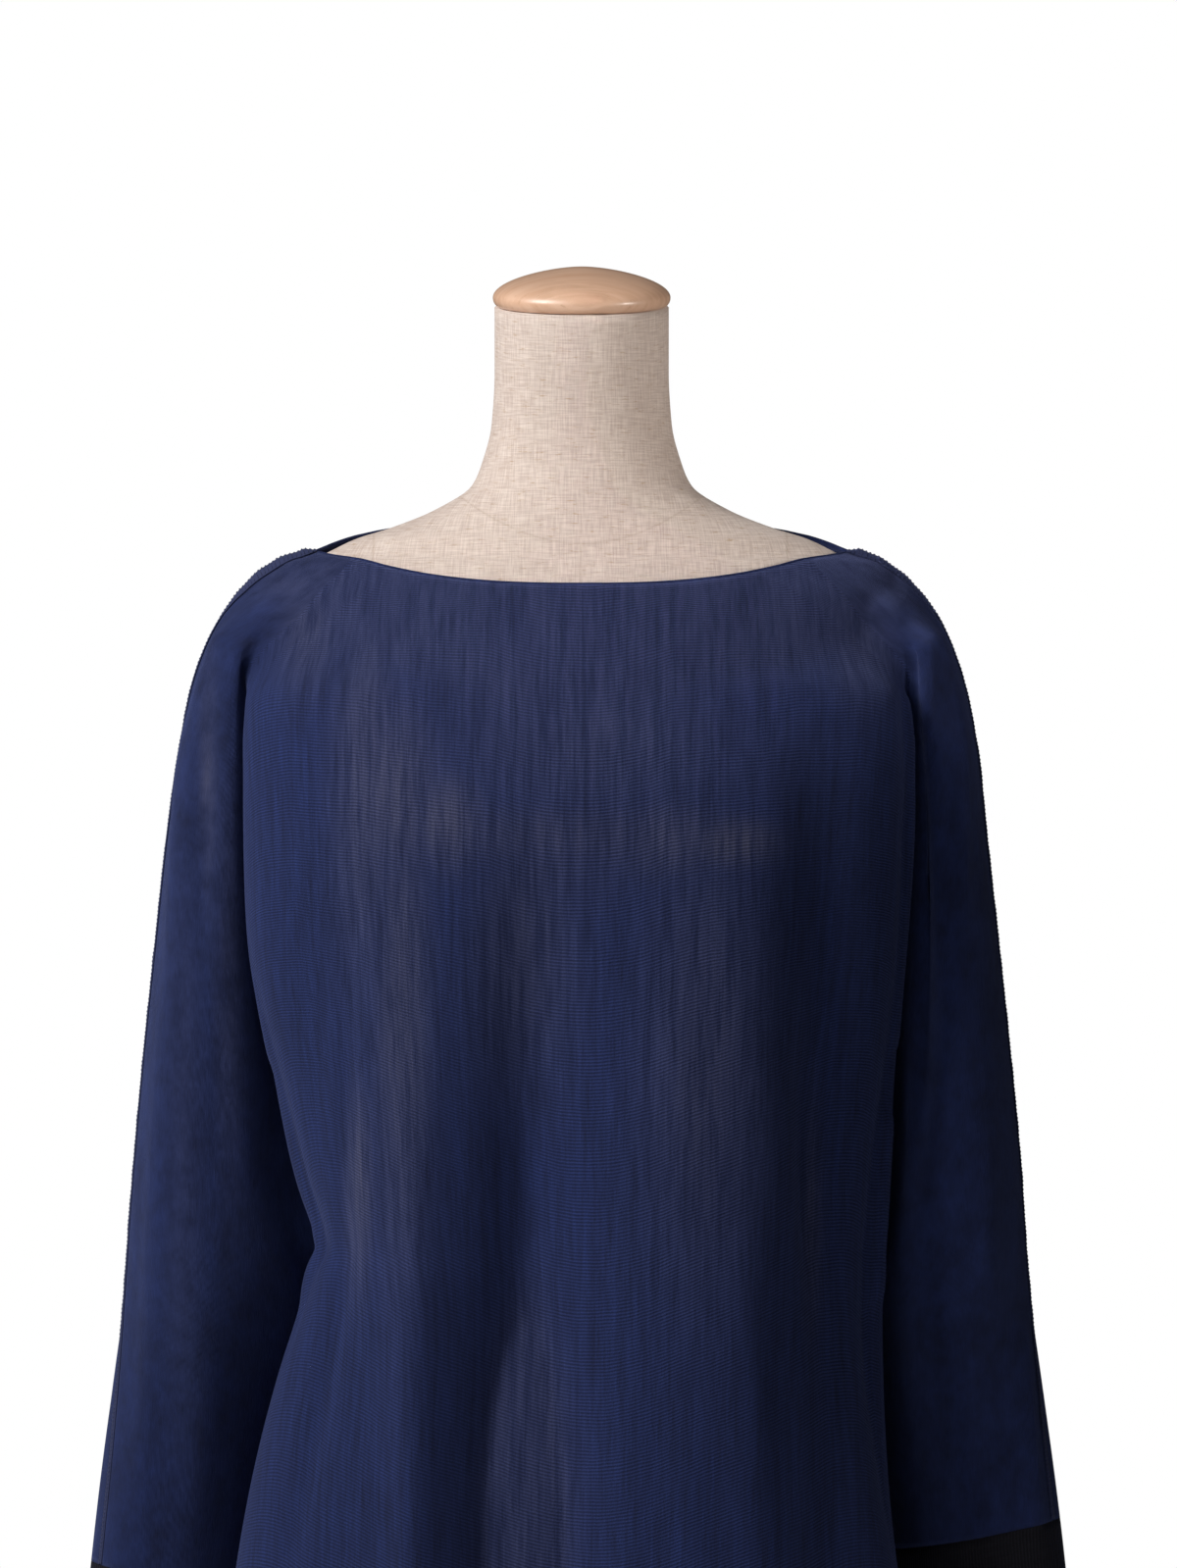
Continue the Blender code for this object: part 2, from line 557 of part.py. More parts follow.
def make_stand(wood, steel):
    bottom = SHOULDER_HEIGHT - FORM_LEVELS[-1][0]
    edge = 0.004
    base = [(0.0, BASE_THICKNESS), (BASE_RADIUS - edge, BASE_THICKNESS)]
    for angle in np.radians((30.0, 60.0, 90.0)):
        inset = edge * (1 - math.sin(angle))
        base.append((BASE_RADIUS - inset, BASE_THICKNESS - edge * (1 - math.cos(angle))))
    base += [(BASE_RADIUS, 0.0015), (BASE_RADIUS - 0.0015, 0.0), (0.0, 0.0)]
    turned("stand_base", base, 48, wood)
    foot = BASE_THICKNESS + STAND_GAP
    top = bottom - STAND_GAP
    post = [
        (0.0, top), (COLLAR_RADIUS, top), (COLLAR_RADIUS, top - COLLAR_HEIGHT + 0.002),
        (COLLAR_RADIUS - 0.002, top - COLLAR_HEIGHT), (POST_RADIUS, top - COLLAR_HEIGHT),
        (POST_RADIUS, foot + COLLAR_HEIGHT), (COLLAR_RADIUS - 0.002, foot + COLLAR_HEIGHT),
        (COLLAR_RADIUS, foot + COLLAR_HEIGHT - 0.002), (COLLAR_RADIUS, foot), (0.0, foot),
    ]
    turned("stand_post", post, 24, steel)


def outer_seam(side):
    """The outer seam's line from the neck corner to the cuff, the way out of the cloth and the way across."""
    front, back = (cloth_nets(layer)[1][side][: CUFF_ROW + 1] for layer in OUT)
    line = (front[:, 0] + back[:, 0]) / 2
    heading = np.gradient(line, axis=0)
    heading /= np.linalg.norm(heading, axis=1, keepdims=True)
    out = line - (front[:, LOBE_COLUMN] + back[:, LOBE_COLUMN]) / 2
    out -= heading * (out * heading).sum(axis=1, keepdims=True)
    out /= np.linalg.norm(out, axis=1, keepdims=True)
    return line, out, np.cross(heading, out)


def make_seam_ridge(side, thread):
    """The overlocked allowance: a narrow strip that stands on the seam, lower down the sleeve."""
    half, foot = SEAM_RIDGE_WIDTH / 2, CLOTH / 2 + RIDGE_SEAT
    shape = ((-1.0, 0.0), (1.0, 0.0), (1.0, 0.6), (0.3, 1.0), (-0.3, 1.0), (-1.0, 0.6))
    bm = bmesh.new()
    rings = []
    for k, (spot, out, across) in enumerate(zip(*outer_seam(side))):
        tall = SEAM_RIDGE_TOP + (SEAM_RIDGE_LOW - SEAM_RIDGE_TOP) * min(1.0, k / SHOULDER_ROWS)
        tall *= 0.45 if k == 0 else 1.0
        ring = [spot + out * (foot + up * tall) + across * half * aside for aside, up in shape]
        rings.append([bm.verts.new(corner) for corner in ring])
    close_rings(bm, rings)
    finish("shoulder_seam_" + side, bm, thread, smooth=False)


def make_panel(layer, jersey):
    whole, sleeves = cloth_nets(layer)
    bm = bmesh.new()
    grid_of(bm, whole)
    for net in sleeves.values():
        grid_of(bm, net[: CUFF_ROW + 1])
    cloth_object(layer + "_panel", bm, jersey, OUT[layer])


def make_cuff(side, jersey):
    """A tube from the sleeve's end to the cuff's, front half and back half in one piece."""
    front, back = (cloth_nets(layer)[1][side][CUFF_ROW:] for layer in OUT)
    loop = np.concatenate([front, back[:, -2:0:-1], front[:, :1]], axis=1)
    loop[0, :, 2] -= SEAM_GAP
    bm = bmesh.new()
    grid_of(bm, loop)
    cloth_object("cuff_" + side, bm, jersey, -1.0)


def main():
    for thing in list(bpy.data.objects):
        bpy.data.objects.remove(thing, do_unlink=True)
    collection = bpy.data.collections.new(COLLECTION)
    bpy.context.scene.collection.children.link(collection)
    navy = material("navy jersey", (0.022, 0.028, 0.085), 0.85)
    black = material("black jersey", (0.006, 0.006, 0.009), 0.85)
    thread = material("navy overlock thread", (0.014, 0.018, 0.055), 0.8)
    linen = material("oatmeal linen", (0.72, 0.62, 0.53), 0.9)
    wood = material("pale beech", (0.60, 0.38, 0.22), 0.35)
    steel = material("satin steel", (0.55, 0.55, 0.56), 0.35, 1.0)

    make_torso(linen)
    y, z = neck_top()
    lean = Matrix.Rotation(NECK_TILT, 4, "X")
    seat = Matrix.Translation((0.0, y - CAP_SEAT * math.sin(NECK_TILT), z + CAP_SEAT)) @ lean
    turned("form_neck_cap", cap_profile(), 40, wood, seat)
    make_stand(wood, steel)
    for layer in ("front", "back"):
        make_panel(layer, navy)
    for side in SIDES:
        make_cuff(side, black)
        make_seam_ridge(side, thread)


main()
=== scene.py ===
"""Boat neck sweater on a limbless dress form: the visual model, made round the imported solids.

Metres, but millimetres in the tables. +Z is up and the front faces -Y. Left and right are the wearer's, so the
right sleeve is at -X. A "drop" is a depth below the shoulder line. The cloth's sections follow those of the
solids, more finely cut.
"""
import math

import bmesh
import bpy
import numpy as np
from mathutils import Matrix, Vector


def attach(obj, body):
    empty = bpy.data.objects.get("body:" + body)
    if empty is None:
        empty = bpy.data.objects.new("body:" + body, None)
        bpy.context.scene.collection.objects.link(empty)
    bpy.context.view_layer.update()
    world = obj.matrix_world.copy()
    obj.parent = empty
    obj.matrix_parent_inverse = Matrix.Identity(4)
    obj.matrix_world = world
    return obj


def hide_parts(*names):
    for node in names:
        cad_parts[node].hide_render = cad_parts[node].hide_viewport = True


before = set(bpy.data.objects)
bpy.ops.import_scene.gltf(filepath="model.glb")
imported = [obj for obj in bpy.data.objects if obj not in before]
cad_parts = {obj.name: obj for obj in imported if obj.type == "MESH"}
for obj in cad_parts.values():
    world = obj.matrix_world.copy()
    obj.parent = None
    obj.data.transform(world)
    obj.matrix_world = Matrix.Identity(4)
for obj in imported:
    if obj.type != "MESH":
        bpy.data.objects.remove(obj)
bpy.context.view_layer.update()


# -------- dress form: torso
# A limbless torso and neck of hard board, padded and covered in undyed linen. The cover is sewn from panels, so
# fine seams run down its middle, over the bust and round the foot of the neck. It carries the sweater.

SHOULDER_HEIGHT = 0.86
# One row a level: its drop, half of its width, how far front and back reach from its centre line, that line's y,
# and how square it is.
FORM_LEVELS = (
    (-136.3, 49.7, 50, 50, -6, 2),
    (-100, 49.7, 50, 50, -1, 2),
    (-70, 51.5, 51, 52, 5, 2),
    (-48, 57.1, 54, 56, 9, 2),
    (-35, 63, 57, 59, 10, 2),
    (-21.3, 84, 60, 63, 11, 1.9),
    (-10.8, 110, 63, 68, 11, 1.8),
    (-4.8, 129, 65, 73, 11, 1.8),
    (6, 152, 69, 79, 11, 1.85),
    (11, 167, 73, 83, 11, 1.9),
    (18, 176.5, 78, 87, 11, 1.95),
    (30, 182.5, 85, 91, 10, 2.05),
    (50, 184, 93, 96, 8, 2.1),
    (70, 181, 101, 100, 5, 2.2),
    (100, 173, 112, 102, 2, 2.3),
    (140, 160, 124, 102, 0, 2.4),
    (175, 150, 129, 99, 0, 2.4),
    (210, 142, 122, 95, 0, 2.4),
    (260, 129, 104, 87, 0, 2.3),
    (340, 113, 88, 78, 0, 2.2),
    (400, 123, 93, 86, 0, 2.2),
    (470, 144, 103, 101, 0, 2.3),
    (540, 159, 109, 111, 0, 2.3),
    (610, 163, 108, 112, 0, 2.3),
    (680, 157, 102, 106, 0, 2.3),
    (705, 150, 96, 100, 0, 2.3),
    (712, 140, 87, 91, 0, 2.3),
)
NECK_TILT = math.radians(8.4)  # the neck's top leans forward
NECK_LEANS = (0.06, 0.12)  # heights above the shoulder line between which it comes to lean
TORSO_ROWS = 170
TORSO_SIDES = 144
CENTRE_SEAM_X = -0.0006
BUST_SEAM_X = 0.1176
NECK_SEAM = (0.8603, 5.9)  # its height at the middle, and how steeply it climbs to the sides (1/m)
WARP_PITCH = 0.0009  # drawn about twice as wide as real linen's, so that it shows
SLUB_WIDTH, SLUB_LENGTH = 0.0008, 0.014


def linear(code):
    """Linear colour of an sRGB hex value."""
    parts = [int(code[i : i + 2], 16) / 255 for i in (1, 3, 5)]
    return (*[part / 12.92 if part <= 0.04045 else ((part + 0.055) / 1.055) ** 2.4 for part in parts], 1.0)


class Surface:
    """A material, or the world, in the making. Most calls add one shader node and give its output."""

    def __init__(self, name, world=False):
        self.block = (bpy.data.worlds if world else bpy.data.materials).new(name)
        self.block.use_nodes = True
        self.tree = self.block.node_tree
        self.end = self.tree.nodes["World Output" if world else "Principled BSDF"]

    def look(self, inputs, node=None):
        """Sets or links the inputs of a node, or of the one that gives the look."""
        node = node or self.end
        for socket, value in dict(inputs).items():
            if isinstance(value, bpy.types.NodeSocket):
                self.tree.links.new(value, node.inputs[socket])
            else:
                node.inputs[socket].default_value = linear(value) if isinstance(value, str) else value

    def add(self, kind, inputs=(), output=0, **settings):
        node = self.tree.nodes.new("ShaderNode" + kind)
        for name, value in settings.items():
            setattr(node, name, value)
        self.look(inputs, node)
        return node.outputs[output]

    def pattern(self):
        """Place in the cloth's own pattern, in metres."""
        return self.add("UVMap", uv_map="UVMap")

    def spot(self):
        """Place in the object's own coordinates."""
        return self.add("TexCoord", output="Object")

    def part(self, vector, axis):
        return self.add("SeparateXYZ", {"Vector": vector}, axis)

    def calc(self, operation, *values):
        return self.add("Math", enumerate(values), operation=operation)

    def weigh(self, *parts):
        """Sum of outputs, each times its weight."""
        total = 0.0
        for value, weight in parts:
            total = self.calc("MULTIPLY_ADD", value, weight, total)
        return total

    def noise(self, at, grain, detail, turn=(0.0, 0.0, 0.0), dimensions="3D", **inputs):
        """Noise whose grain has those lengths along the coordinates, in metres."""
        at = self.add("Mapping", {"Vector": at, "Scale": [1 / size for size in grain], "Rotation": turn})
        inputs = {"Vector": at, "Scale": 1.0, "Detail": detail} | inputs
        return self.add("TexNoise", inputs, "Fac", noise_dimensions=dimensions)

    def spread(self, value, low, high, to_low=0.0, to_high=1.0):
        """A range brought to another one."""
        ends = {"Value": value, "From Min": low, "From Max": high, "To Min": to_low, "To Max": to_high}
        return self.add("MapRange", ends)

    def mix(self, share, first, second):
        """Two colours mixed."""
        return self.add("Mix", {"Factor": share, "A": first, "B": second}, "Result", data_type="RGBA")

    def bump(self, height, strength, distance):
        relief = {"Height": height, "Strength": strength, "Distance": distance}
        self.look({"Normal": self.add("Bump", relief)})


def ramp(value, start, end):
    """From 0 at the start to 1 at the end."""
    return np.clip((value - start) / (end - start), 0.0, 1.0)


def eased(share):
    """A share from 0 to 1 that starts and stops softly."""
    return share**2 * (3.0 - 2.0 * share)


def unit(vectors):
    """Vectors brought to length 1."""
    return vectors / (np.linalg.norm(vectors, axis=-1, keepdims=True) + 1e-12)


def between(t, first, last, leave, arrive):
    """Smooth curve from the first value to the last, with its slopes at both ends."""
    return first * (1 - eased(t)) + last * eased(t) + leave * (t**3 - 2 * t**2 + t) + arrive * (t**3 - t**2)


def glide(at, knots, values):
    """Smooth curve through a table's values that doesn't overshoot them."""
    step = np.diff(knots)
    rise = np.diff(values) / step
    slope = np.concatenate([rise[:1], np.zeros(len(values) - 2), rise[-1:]])
    same_way = rise[1:] * rise[:-1] > 0
    total = np.where(same_way, rise[1:] + rise[:-1], 1.0)
    slope[1:-1] = np.where(same_way, 2.0 * rise[1:] * rise[:-1] / total, 0.0)
    i = np.clip(np.searchsorted(knots, at) - 1, 0, len(step) - 1)
    t = np.clip((at - knots[i]) / step[i], 0.0, 1.0)
    return between(t, values[i], values[i + 1], step[i] * slope[i], step[i] * slope[i + 1])


def table(names, rows):
    """A table's columns as arrays by name, brought from millimetres to metres but for its plain numbers."""
    columns = zip(names.split(), np.array(rows, dtype=float).T)
    return {name: column / (1 if name in ("squareness", "share", "rise") else 1000) for name, column in columns}


def at_drop(columns, drop):
    """The value of each of a table's columns at a drop."""
    return {name: glide(drop, columns["drop"], column) for name, column in columns.items() if name != "drop"}


def lengths(points, axis):
    """Distance run along each row or column of a net."""
    steps = np.linalg.norm(np.diff(points, axis=axis), axis=-1)
    start = np.zeros_like(np.take(steps, [0], axis=axis))
    return np.concatenate([start, np.cumsum(steps, axis=axis)], axis=axis)


def grid_of(bm, points, pattern=None, shade=None):
    """A grid of faces with its vertices on the points. The pattern's place, or else the points' own run, goes into
    the UV map, in metres, and `shade`, a vertex layer and its values, into that layer."""
    if pattern is None:
        pattern = np.stack([lengths(points, 0), lengths(points, 1)], axis=-1)
    rows, columns = points.shape[:2]
    uv = bm.loops.layers.uv.get("UVMap") or bm.loops.layers.uv.new("UVMap")
    for vert in bmesh.ops.create_grid(bm, x_segments=columns - 1, y_segments=rows - 1, size=1.0)["verts"]:
        i = round((vert.co.y + 1.0) / 2.0 * (rows - 1))
        j = round((vert.co.x + 1.0) / 2.0 * (columns - 1))
        vert.co = points[i, j]
        for loop in vert.link_loops:
            loop[uv].uv = pattern[i, j]
        if shade:
            vert[shade[0]] = float(shade[1][i, j])


def weld(bm, reach, fill=True):
    """Joins the vertices that meet, and closes open ends."""
    bmesh.ops.remove_doubles(bm, verts=bm.verts, dist=reach)
    if fill:
        bmesh.ops.holes_fill(bm, edges=[edge for edge in bm.edges if edge.is_boundary], sides=0)


def placed(name, data):
    """A new object in the scene."""
    thing = bpy.data.objects.new(name, data)
    bpy.context.scene.collection.objects.link(thing)
    return thing


def finish(name, bm, surface, facing=0.0):
    """A finished mesh as one smooth object. Open cloth faces the way `facing` along Y."""
    bmesh.ops.recalc_face_normals(bm, faces=bm.faces)
    foremost = max(bm.faces, key=lambda face: facing * face.calc_center_median().y)
    if foremost.normal.y * facing < 0:
        bmesh.ops.reverse_faces(bm, faces=bm.faces)
    mesh = bpy.data.meshes.new(name)
    bm.to_mesh(mesh)
    bm.free()
    mesh.shade_smooth()
    mesh.materials.append(surface.block)
    thing = placed(name, mesh)
    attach(thing, "root")
    return thing


FORM = table("drop half_width front back centre squareness", FORM_LEVELS)


def torso_net():
    """Rings of points from the neck's leaning top to the underside's edge."""
    knots = FORM["drop"]
    drops = np.interp(np.linspace(0, len(knots) - 1, TORSO_ROWS), range(len(knots)), knots)
    angles = np.linspace(np.pi / 2, 2.5 * np.pi, TORSO_SIDES + 1)
    c, s = np.cos(angles), np.sin(angles)
    rings = []
    for drop in drops:
        level = at_drop(FORM, drop)
        lean = math.tan(NECK_TILT * ramp(-drop, *NECK_LEANS))
        power = 2.0 / level["squareness"]
        x = level["half_width"] * np.copysign(np.abs(c) ** power, c)
        y = np.where(s < 0, level["front"], level["back"]) * np.copysign(np.abs(s) ** power, s)
        rings.append(np.stack([x, y + level["centre"], SHOULDER_HEIGHT - drop + y * lean], axis=-1))
    return np.array(rings)


# Linen, plain weave, undyed. Its uneven yarns show as thicker slubs both ways and as tan flecks of shive.
linen = Surface("undyed linen plain weave")
pattern = linen.pattern()
slubs, yarns = [], []
for axis, grain in (("X", (SLUB_WIDTH, SLUB_LENGTH, 1.0)), ("Y", (SLUB_LENGTH, SLUB_WIDTH, 1.0))):
    slubs.append(linen.noise(pattern, grain, 3.0))
    turn = linen.weigh((slubs[-1], 3.0), (linen.part(pattern, axis), 2 * math.pi / WARP_PITCH))
    yarns.append(linen.calc("SINE", turn))
slub = linen.calc("ADD", *slubs)
fleck = linen.spread(linen.noise(pattern, (0.010, 0.0015, 1.0), 4.0, Roughness=0.7), 0.57, 0.76)
tone = linen.mix(fleck, linen.mix(linen.spread(slub, 0.79, 1.24), "#BEABA0", "#DBCCC1"), "#A5845F")
# The seams are lines on the object's own coordinates: the middle below the neck, the bust seams, and the foot of
# the neck.
spot = linen.spot()
x, z = linen.part(spot, "X"), linen.part(spot, "Z")
aside = linen.calc("ABSOLUTE", linen.calc("SUBTRACT", x, CENTRE_SEAM_X))
bust = linen.calc("ABSOLUTE", linen.calc("SUBTRACT", aside, BUST_SEAM_X))
climb = linen.calc("MULTIPLY_ADD", linen.calc("MULTIPLY", x, x), NECK_SEAM[1], NECK_SEAM[0])
above = linen.calc("SUBTRACT", z, climb)
centre = linen.calc("ADD", linen.calc("GREATER_THAN", above, 0.0), aside)
nearest = linen.calc("MINIMUM", linen.calc("MINIMUM", centre, bust), linen.calc("ABSOLUTE", above))
seam = linen.spread(nearest, 0.0010, 0.0002)
linen.bump(linen.weigh((linen.calc("MULTIPLY", *yarns), 0.35), (slub, 1.0), (seam, -0.5)), 0.55, 0.0005)
linen.look({
    "Base Color": linen.mix(linen.calc("MULTIPLY", seam, 0.20), tone, "#9C8468"), "Roughness": 0.92,
    "Specular IOR Level": 0.2, "Sheen Weight": 0.15,
})

net = torso_net()
bm = bmesh.new()
front_line = slice(TORSO_SIDES // 2, TORSO_SIDES // 2 + 1)
round_form, down_form = lengths(net, 1), lengths(net, 0)[:, front_line] + 0 * net[..., 0]
grid_of(bm, net, np.stack([round_form - round_form[:, front_line], down_form], axis=-1))
weld(bm, 0.00005)
torso = finish("torso_linen_cover", bm, linen)
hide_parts("form_torso")


# -------- dress form: neck cap
# A low dome of turned beech on the neck's leaning top, with a rounded rim and a clear lacquer.

CAP_RADIUS = 0.0507
CAP_HEIGHT = 0.0229
CAP_RIM = 0.0054  # height of its rounded rim
CAP_TUCK = 0.0045  # how far the rim comes in at its foot
REST_GAP = 0.0003  # between parts of the form that stand on each other


def turned(name, profile, steps, surface, matrix=Matrix.Identity(4)):
    """A profile of (radius, height) points spun round Z, then put in its place."""
    bm = bmesh.new()
    points = [bm.verts.new((radius, 0.0, height)) for radius, height in profile]
    edges = [bm.edges.new(pair) for pair in zip(points, points[1:])]
    bmesh.ops.spin(
        bm, geom=points + edges, cent=(0, 0, 0), axis=(0, 0, 1), angle=2 * math.pi, steps=steps, use_merge=True
    )
    weld(bm, 0.00002, fill=False)
    bmesh.ops.transform(bm, matrix=matrix, verts=bm.verts)
    return finish(name, bm, surface)


def lacquered_beech(name, pale, dark, grain, turn):
    """Beech: long soft streaks along the grain with short dark pores, under a satin lacquer."""
    wood = Surface(name)
    spot = wood.spot()
    streaks = wood.noise(spot, grain, 5.0, turn, Distortion=0.6)
    pores = wood.noise(spot, [size / 4 for size in grain], 2.0, turn)
    tone = wood.mix(wood.spread(streaks, 0.35, 0.68), pale, dark)
    tone = wood.mix(wood.spread(pores, 0.62, 0.75, 0.0, 0.35), tone, "#9A6B45")
    wood.bump(streaks, 0.12, 0.0004)
    wood.look({"Base Color": tone, "Roughness": 0.42, "Coat Weight": 0.50, "Coat Roughness": 0.30})
    return wood


cap_wood = lacquered_beech("lacquered beech", "#D3AD92", "#C69D80", (0.055, 0.0035, 0.012), (0.0, 0.0, 0.12))
dome = [(0.0, CAP_HEIGHT)]
for angle in np.radians(np.linspace(86.0, 0.0, 24)):
    c = math.cos(angle)
    dome.append((CAP_RADIUS * c * (0.6 + 0.4 * c), CAP_RIM + (CAP_HEIGHT - CAP_RIM) * math.sin(angle)))
for angle in np.radians(np.linspace(15.0, 90.0, 6)):
    dome.append((CAP_RADIUS - CAP_TUCK * (1 - math.cos(angle)), CAP_RIM * (1 - math.sin(angle))))
dome.append((0.0, 0.0))
neck_top = Vector((0.0, FORM["centre"][0], SHOULDER_HEIGHT - FORM["drop"][0]))
neck_top += REST_GAP * Vector((0.0, -math.sin(NECK_TILT), 1.0))
cap = turned("neck_cap_turned", dome, 128, cap_wood, Matrix.Translation(neck_top) @ Matrix.Rotation(NECK_TILT, 4, "X"))
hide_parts("form_neck_cap")


# -------- dress form: post and base
# A satin steel post with a flange at each end joins the torso to a round beech base with a softened edge.

BASE_RADIUS = 0.135
BASE_THICKNESS = 0.022
BASE_EDGE = 0.004
BASE_CHAMFER = 0.0015
POST_RADIUS = 0.0125
POST_FILLET = 0.001
FLANGE_RADIUS = 0.026
FLANGE_HEIGHT = 0.012
FLANGE_CHAMFER = 0.002

base_wood = lacquered_beech("lacquered beech board", "#DDB591", "#C08F66", (0.22, 0.006, 0.02), (0.0, 0.0, 1.2))
rim = [(0.0, BASE_THICKNESS)]
for angle in np.radians(np.linspace(0.0, 90.0, 8)):
    rim.append((BASE_RADIUS - BASE_EDGE * (1 - math.sin(angle)), BASE_THICKNESS - BASE_EDGE * (1 - math.cos(angle))))
rim += [(BASE_RADIUS, BASE_CHAMFER), (BASE_RADIUS - BASE_CHAMFER, 0.0), (0.0, 0.0)]
base = turned("base_board", rim, 160, base_wood)
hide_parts("stand_base")

# Satin steel, ground round its axis, which leaves fine rings and a long soft highlight.
steel = Surface("satin ground steel")
rings = steel.noise(steel.spot(), (0.025, 0.025, 0.0006), 3.0)
steel.bump(rings, 0.15, 0.0001)
steel.look({"Base Color": "#C4C4C6", "Metallic": 1.0, "Roughness": steel.spread(rings, 0.0, 1.0, 0.24, 0.42)})
post_foot = BASE_THICKNESS + REST_GAP
post_top = SHOULDER_HEIGHT - FORM["drop"][-1] - REST_GAP
flange = (  # radius, and height above the end that it closes
    (0.0, 0.0), (FLANGE_RADIUS, 0.0), (FLANGE_RADIUS, FLANGE_HEIGHT - FLANGE_CHAMFER),
    (FLANGE_RADIUS - FLANGE_CHAMFER, FLANGE_HEIGHT), (POST_RADIUS + POST_FILLET, FLANGE_HEIGHT),
    (POST_RADIUS, FLANGE_HEIGHT + POST_FILLET),
)
shaft = [(radius, post_top - height) for radius, height in flange]
shaft += [(radius, post_foot + height) for radius, height in flange[::-1]]
post = turned("steel_post", shaft, 96, steel)
post.data.shade_flat()
edges = post.modifiers.new("softened edges", "BEVEL")
edges.width = 0.0003
edges.segments = 2
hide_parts("stand_post")


# -------- sweater: front and back panels
# Each panel is cut in one piece from fine navy single jersey: half of the body with half of both sleeves, and no
# armhole seam. The courses run across the body and down the sleeves. The thin knit lets linen show through where
# it lies on the form.

CLOTH = 0.0012  # thickness of the cloth wall
SEAM_GAP = 0.0004  # between the two panels along a seam
CLOTH_CLEARANCE = 0.0019  # from the form to the middle of the wall, where the cloth rests
NECK_CORNER = (0.1515, 0.0022)  # half of the neck opening's width, and its corner's drop
NECK_DIP = 0.0228  # front neckline, from its corner to its middle
NECK_RISE = 0.0172  # back neckline, from its corner up to its middle
NECK_REACH = {"front": -0.070, "back": 0.084}  # y of their middles
SEAM_Y = 0.0080  # the shoulder seam's place between front and back
COURSE_PITCH = 0.0019  # drawn about twice as wide as the real knit's, so that it shows

# The sweater's sections, one a row. Places are given for the right side, as distances from the middle, and
# columns that start with left_ are the left side's own.
#   seam_drop, seam: outer seam of the sleeve; body_drop: the same section at the middle of the body
#   front, back: how far the body's cloth stands out; edge: body's front edge beside the sleeve
#   fold, fold_front, fold_back: bottom of the fold between body and sleeve, front and back
# Over the shoulder the sections pass from the neckline to the first full one, held by the seam's line.
SHOULDER_SECTIONS = table("seam_drop seam left_seam share", (
    (6, 163, 160.5, 0.25),
    (11, 175, 171.5, 0.5),
    (21, 189.5, 186, 0.75),
))
SECTIONS = table(
    "seam_drop seam body_drop front back edge fold fold_front fold_back left_seam left_edge left_fold", (
    (40, 205, 82, 103, 104, 186, 189.5, -39, 50, 202.5, 180, 185),
    (70, 219, 106, 116, 108, 190, 189, -38, 49, 215.5, 184, 184),
    (110, 228, 137, 128, 109, 190, 186, -34, 47, 224.5, 185, 181),
    (165, 236, 182, 134, 108, 190, 180, -15, 44, 230.5, 184, 176),
    (225, 242.5, 234, 133, 106, 187, 172, 1, 40, 237.2, 181, 169),
    (300, 250.3, 304, 130, 105, 172, 159, 12, 35, 245, 174, 160),
    (360, 255.6, 362, 128, 105, 158, 147, 13, 31, 250.5, 169, 152),
    (388, 257.8, 389, 127, 106, 149, 140, 13, 27, 252.3, 167, 148),
    (400, 258.6, 400, 127, 106, 147, 136, 15, 15, 253.1, 166, 145),
))
# Below the underarm the body and each sleeve are tubes of their own. The sleeve lies back beside the body:
# inner and inner_y place its inner seam, belly is how far a layer stands off the line between its seams, and
# rise is how steeply its sections climb to the outer seam, because the sleeve hangs outwards.
BODY_SECTIONS = table("drop front back edge side left_edge left_side", (
    (406, 127, 106, 151, 134.5, 166, 143.5),
    (430, 126, 107, 158, 143, 165, 148),
    (472, 126, 110, 172, 160, 166, 156),
    (528, 127, 115, 186, 176, 171, 164),
    (600, 128, 120, 198, 188, 181, 174),
    (660, 130, 124, 203, 193, 188, 181),
))
SLEEVE_SECTIONS = table("drop seam inner inner_y belly_front belly_back rise left_drop left_seam left_inner", (
    (406, 259, 140, 17, 46, 34.5, 0, 406, 253.5, 149),
    (430, 260.7, 153, 29, 45, 35, 0.02, 430, 255.5, 157),
    (472, 263.7, 171, 48, 41, 36, 0.06, 472, 259, 165),
    (528, 268.3, 184, 64, 36, 34, 0.14, 518, 263, 171),
    (600, 275, 193, 76, 31, 31, 0.22, 577, 269, 177),
    (675, 282, 200, 79, 29, 29, 0.22, 652, 277, 187),
))
# Front and back of the sleeve's cloth above the underarm, and the turn where the body goes to its side.
LOBES = table("drop front back edge_front edge_back back_in", (
    (40, -41, 51, -46, 58, 0),
    (120, -45, 54, -48, 58, 2),
    (400, -37, 46, -44, 52, 6),
    (600, -37, 46, -46, 56, 12),
))
SIDE_SEAM_Y = 0.0150
UNDERARM_DROP = 0.400
UNDERARM_EASE = {"right": 0.003, "left": 0.0}  # keeps the pinch at the underarm near the seam

# The body's largest soft folds, one a row: the drops of its top and bottom, its x at the top, middle and bottom,
# its half width, how far it stands out (below zero for a trough), and how one-sided it is.
FOLDS = {"front": (
    (220, 460, -125, -131.5, -138, 14, 3.5, 0),
    (340, 700, -62, -64, -66, 26, 2, 0),
    (380, 700, 12, 16, 20, 30, 5, 0),
    (300, 640, 128, 137, 146, 13, 5, 0),
    (360, 660, 106, 112, 118, 12, -4.5, 0),
), "back": (
    (260, 700, -70, -77.5, -85, 26, -7, 0),
    (300, 700, -10, -7, -4, 28, 6, 0),
    (240, 700, 72, 76, 80, 24, -6.5, 0),
    (180, 600, -132, -141, -150, 15, 4, 0),
    (200, 620, 130, 138, 146, 15, 4, 0),
)}
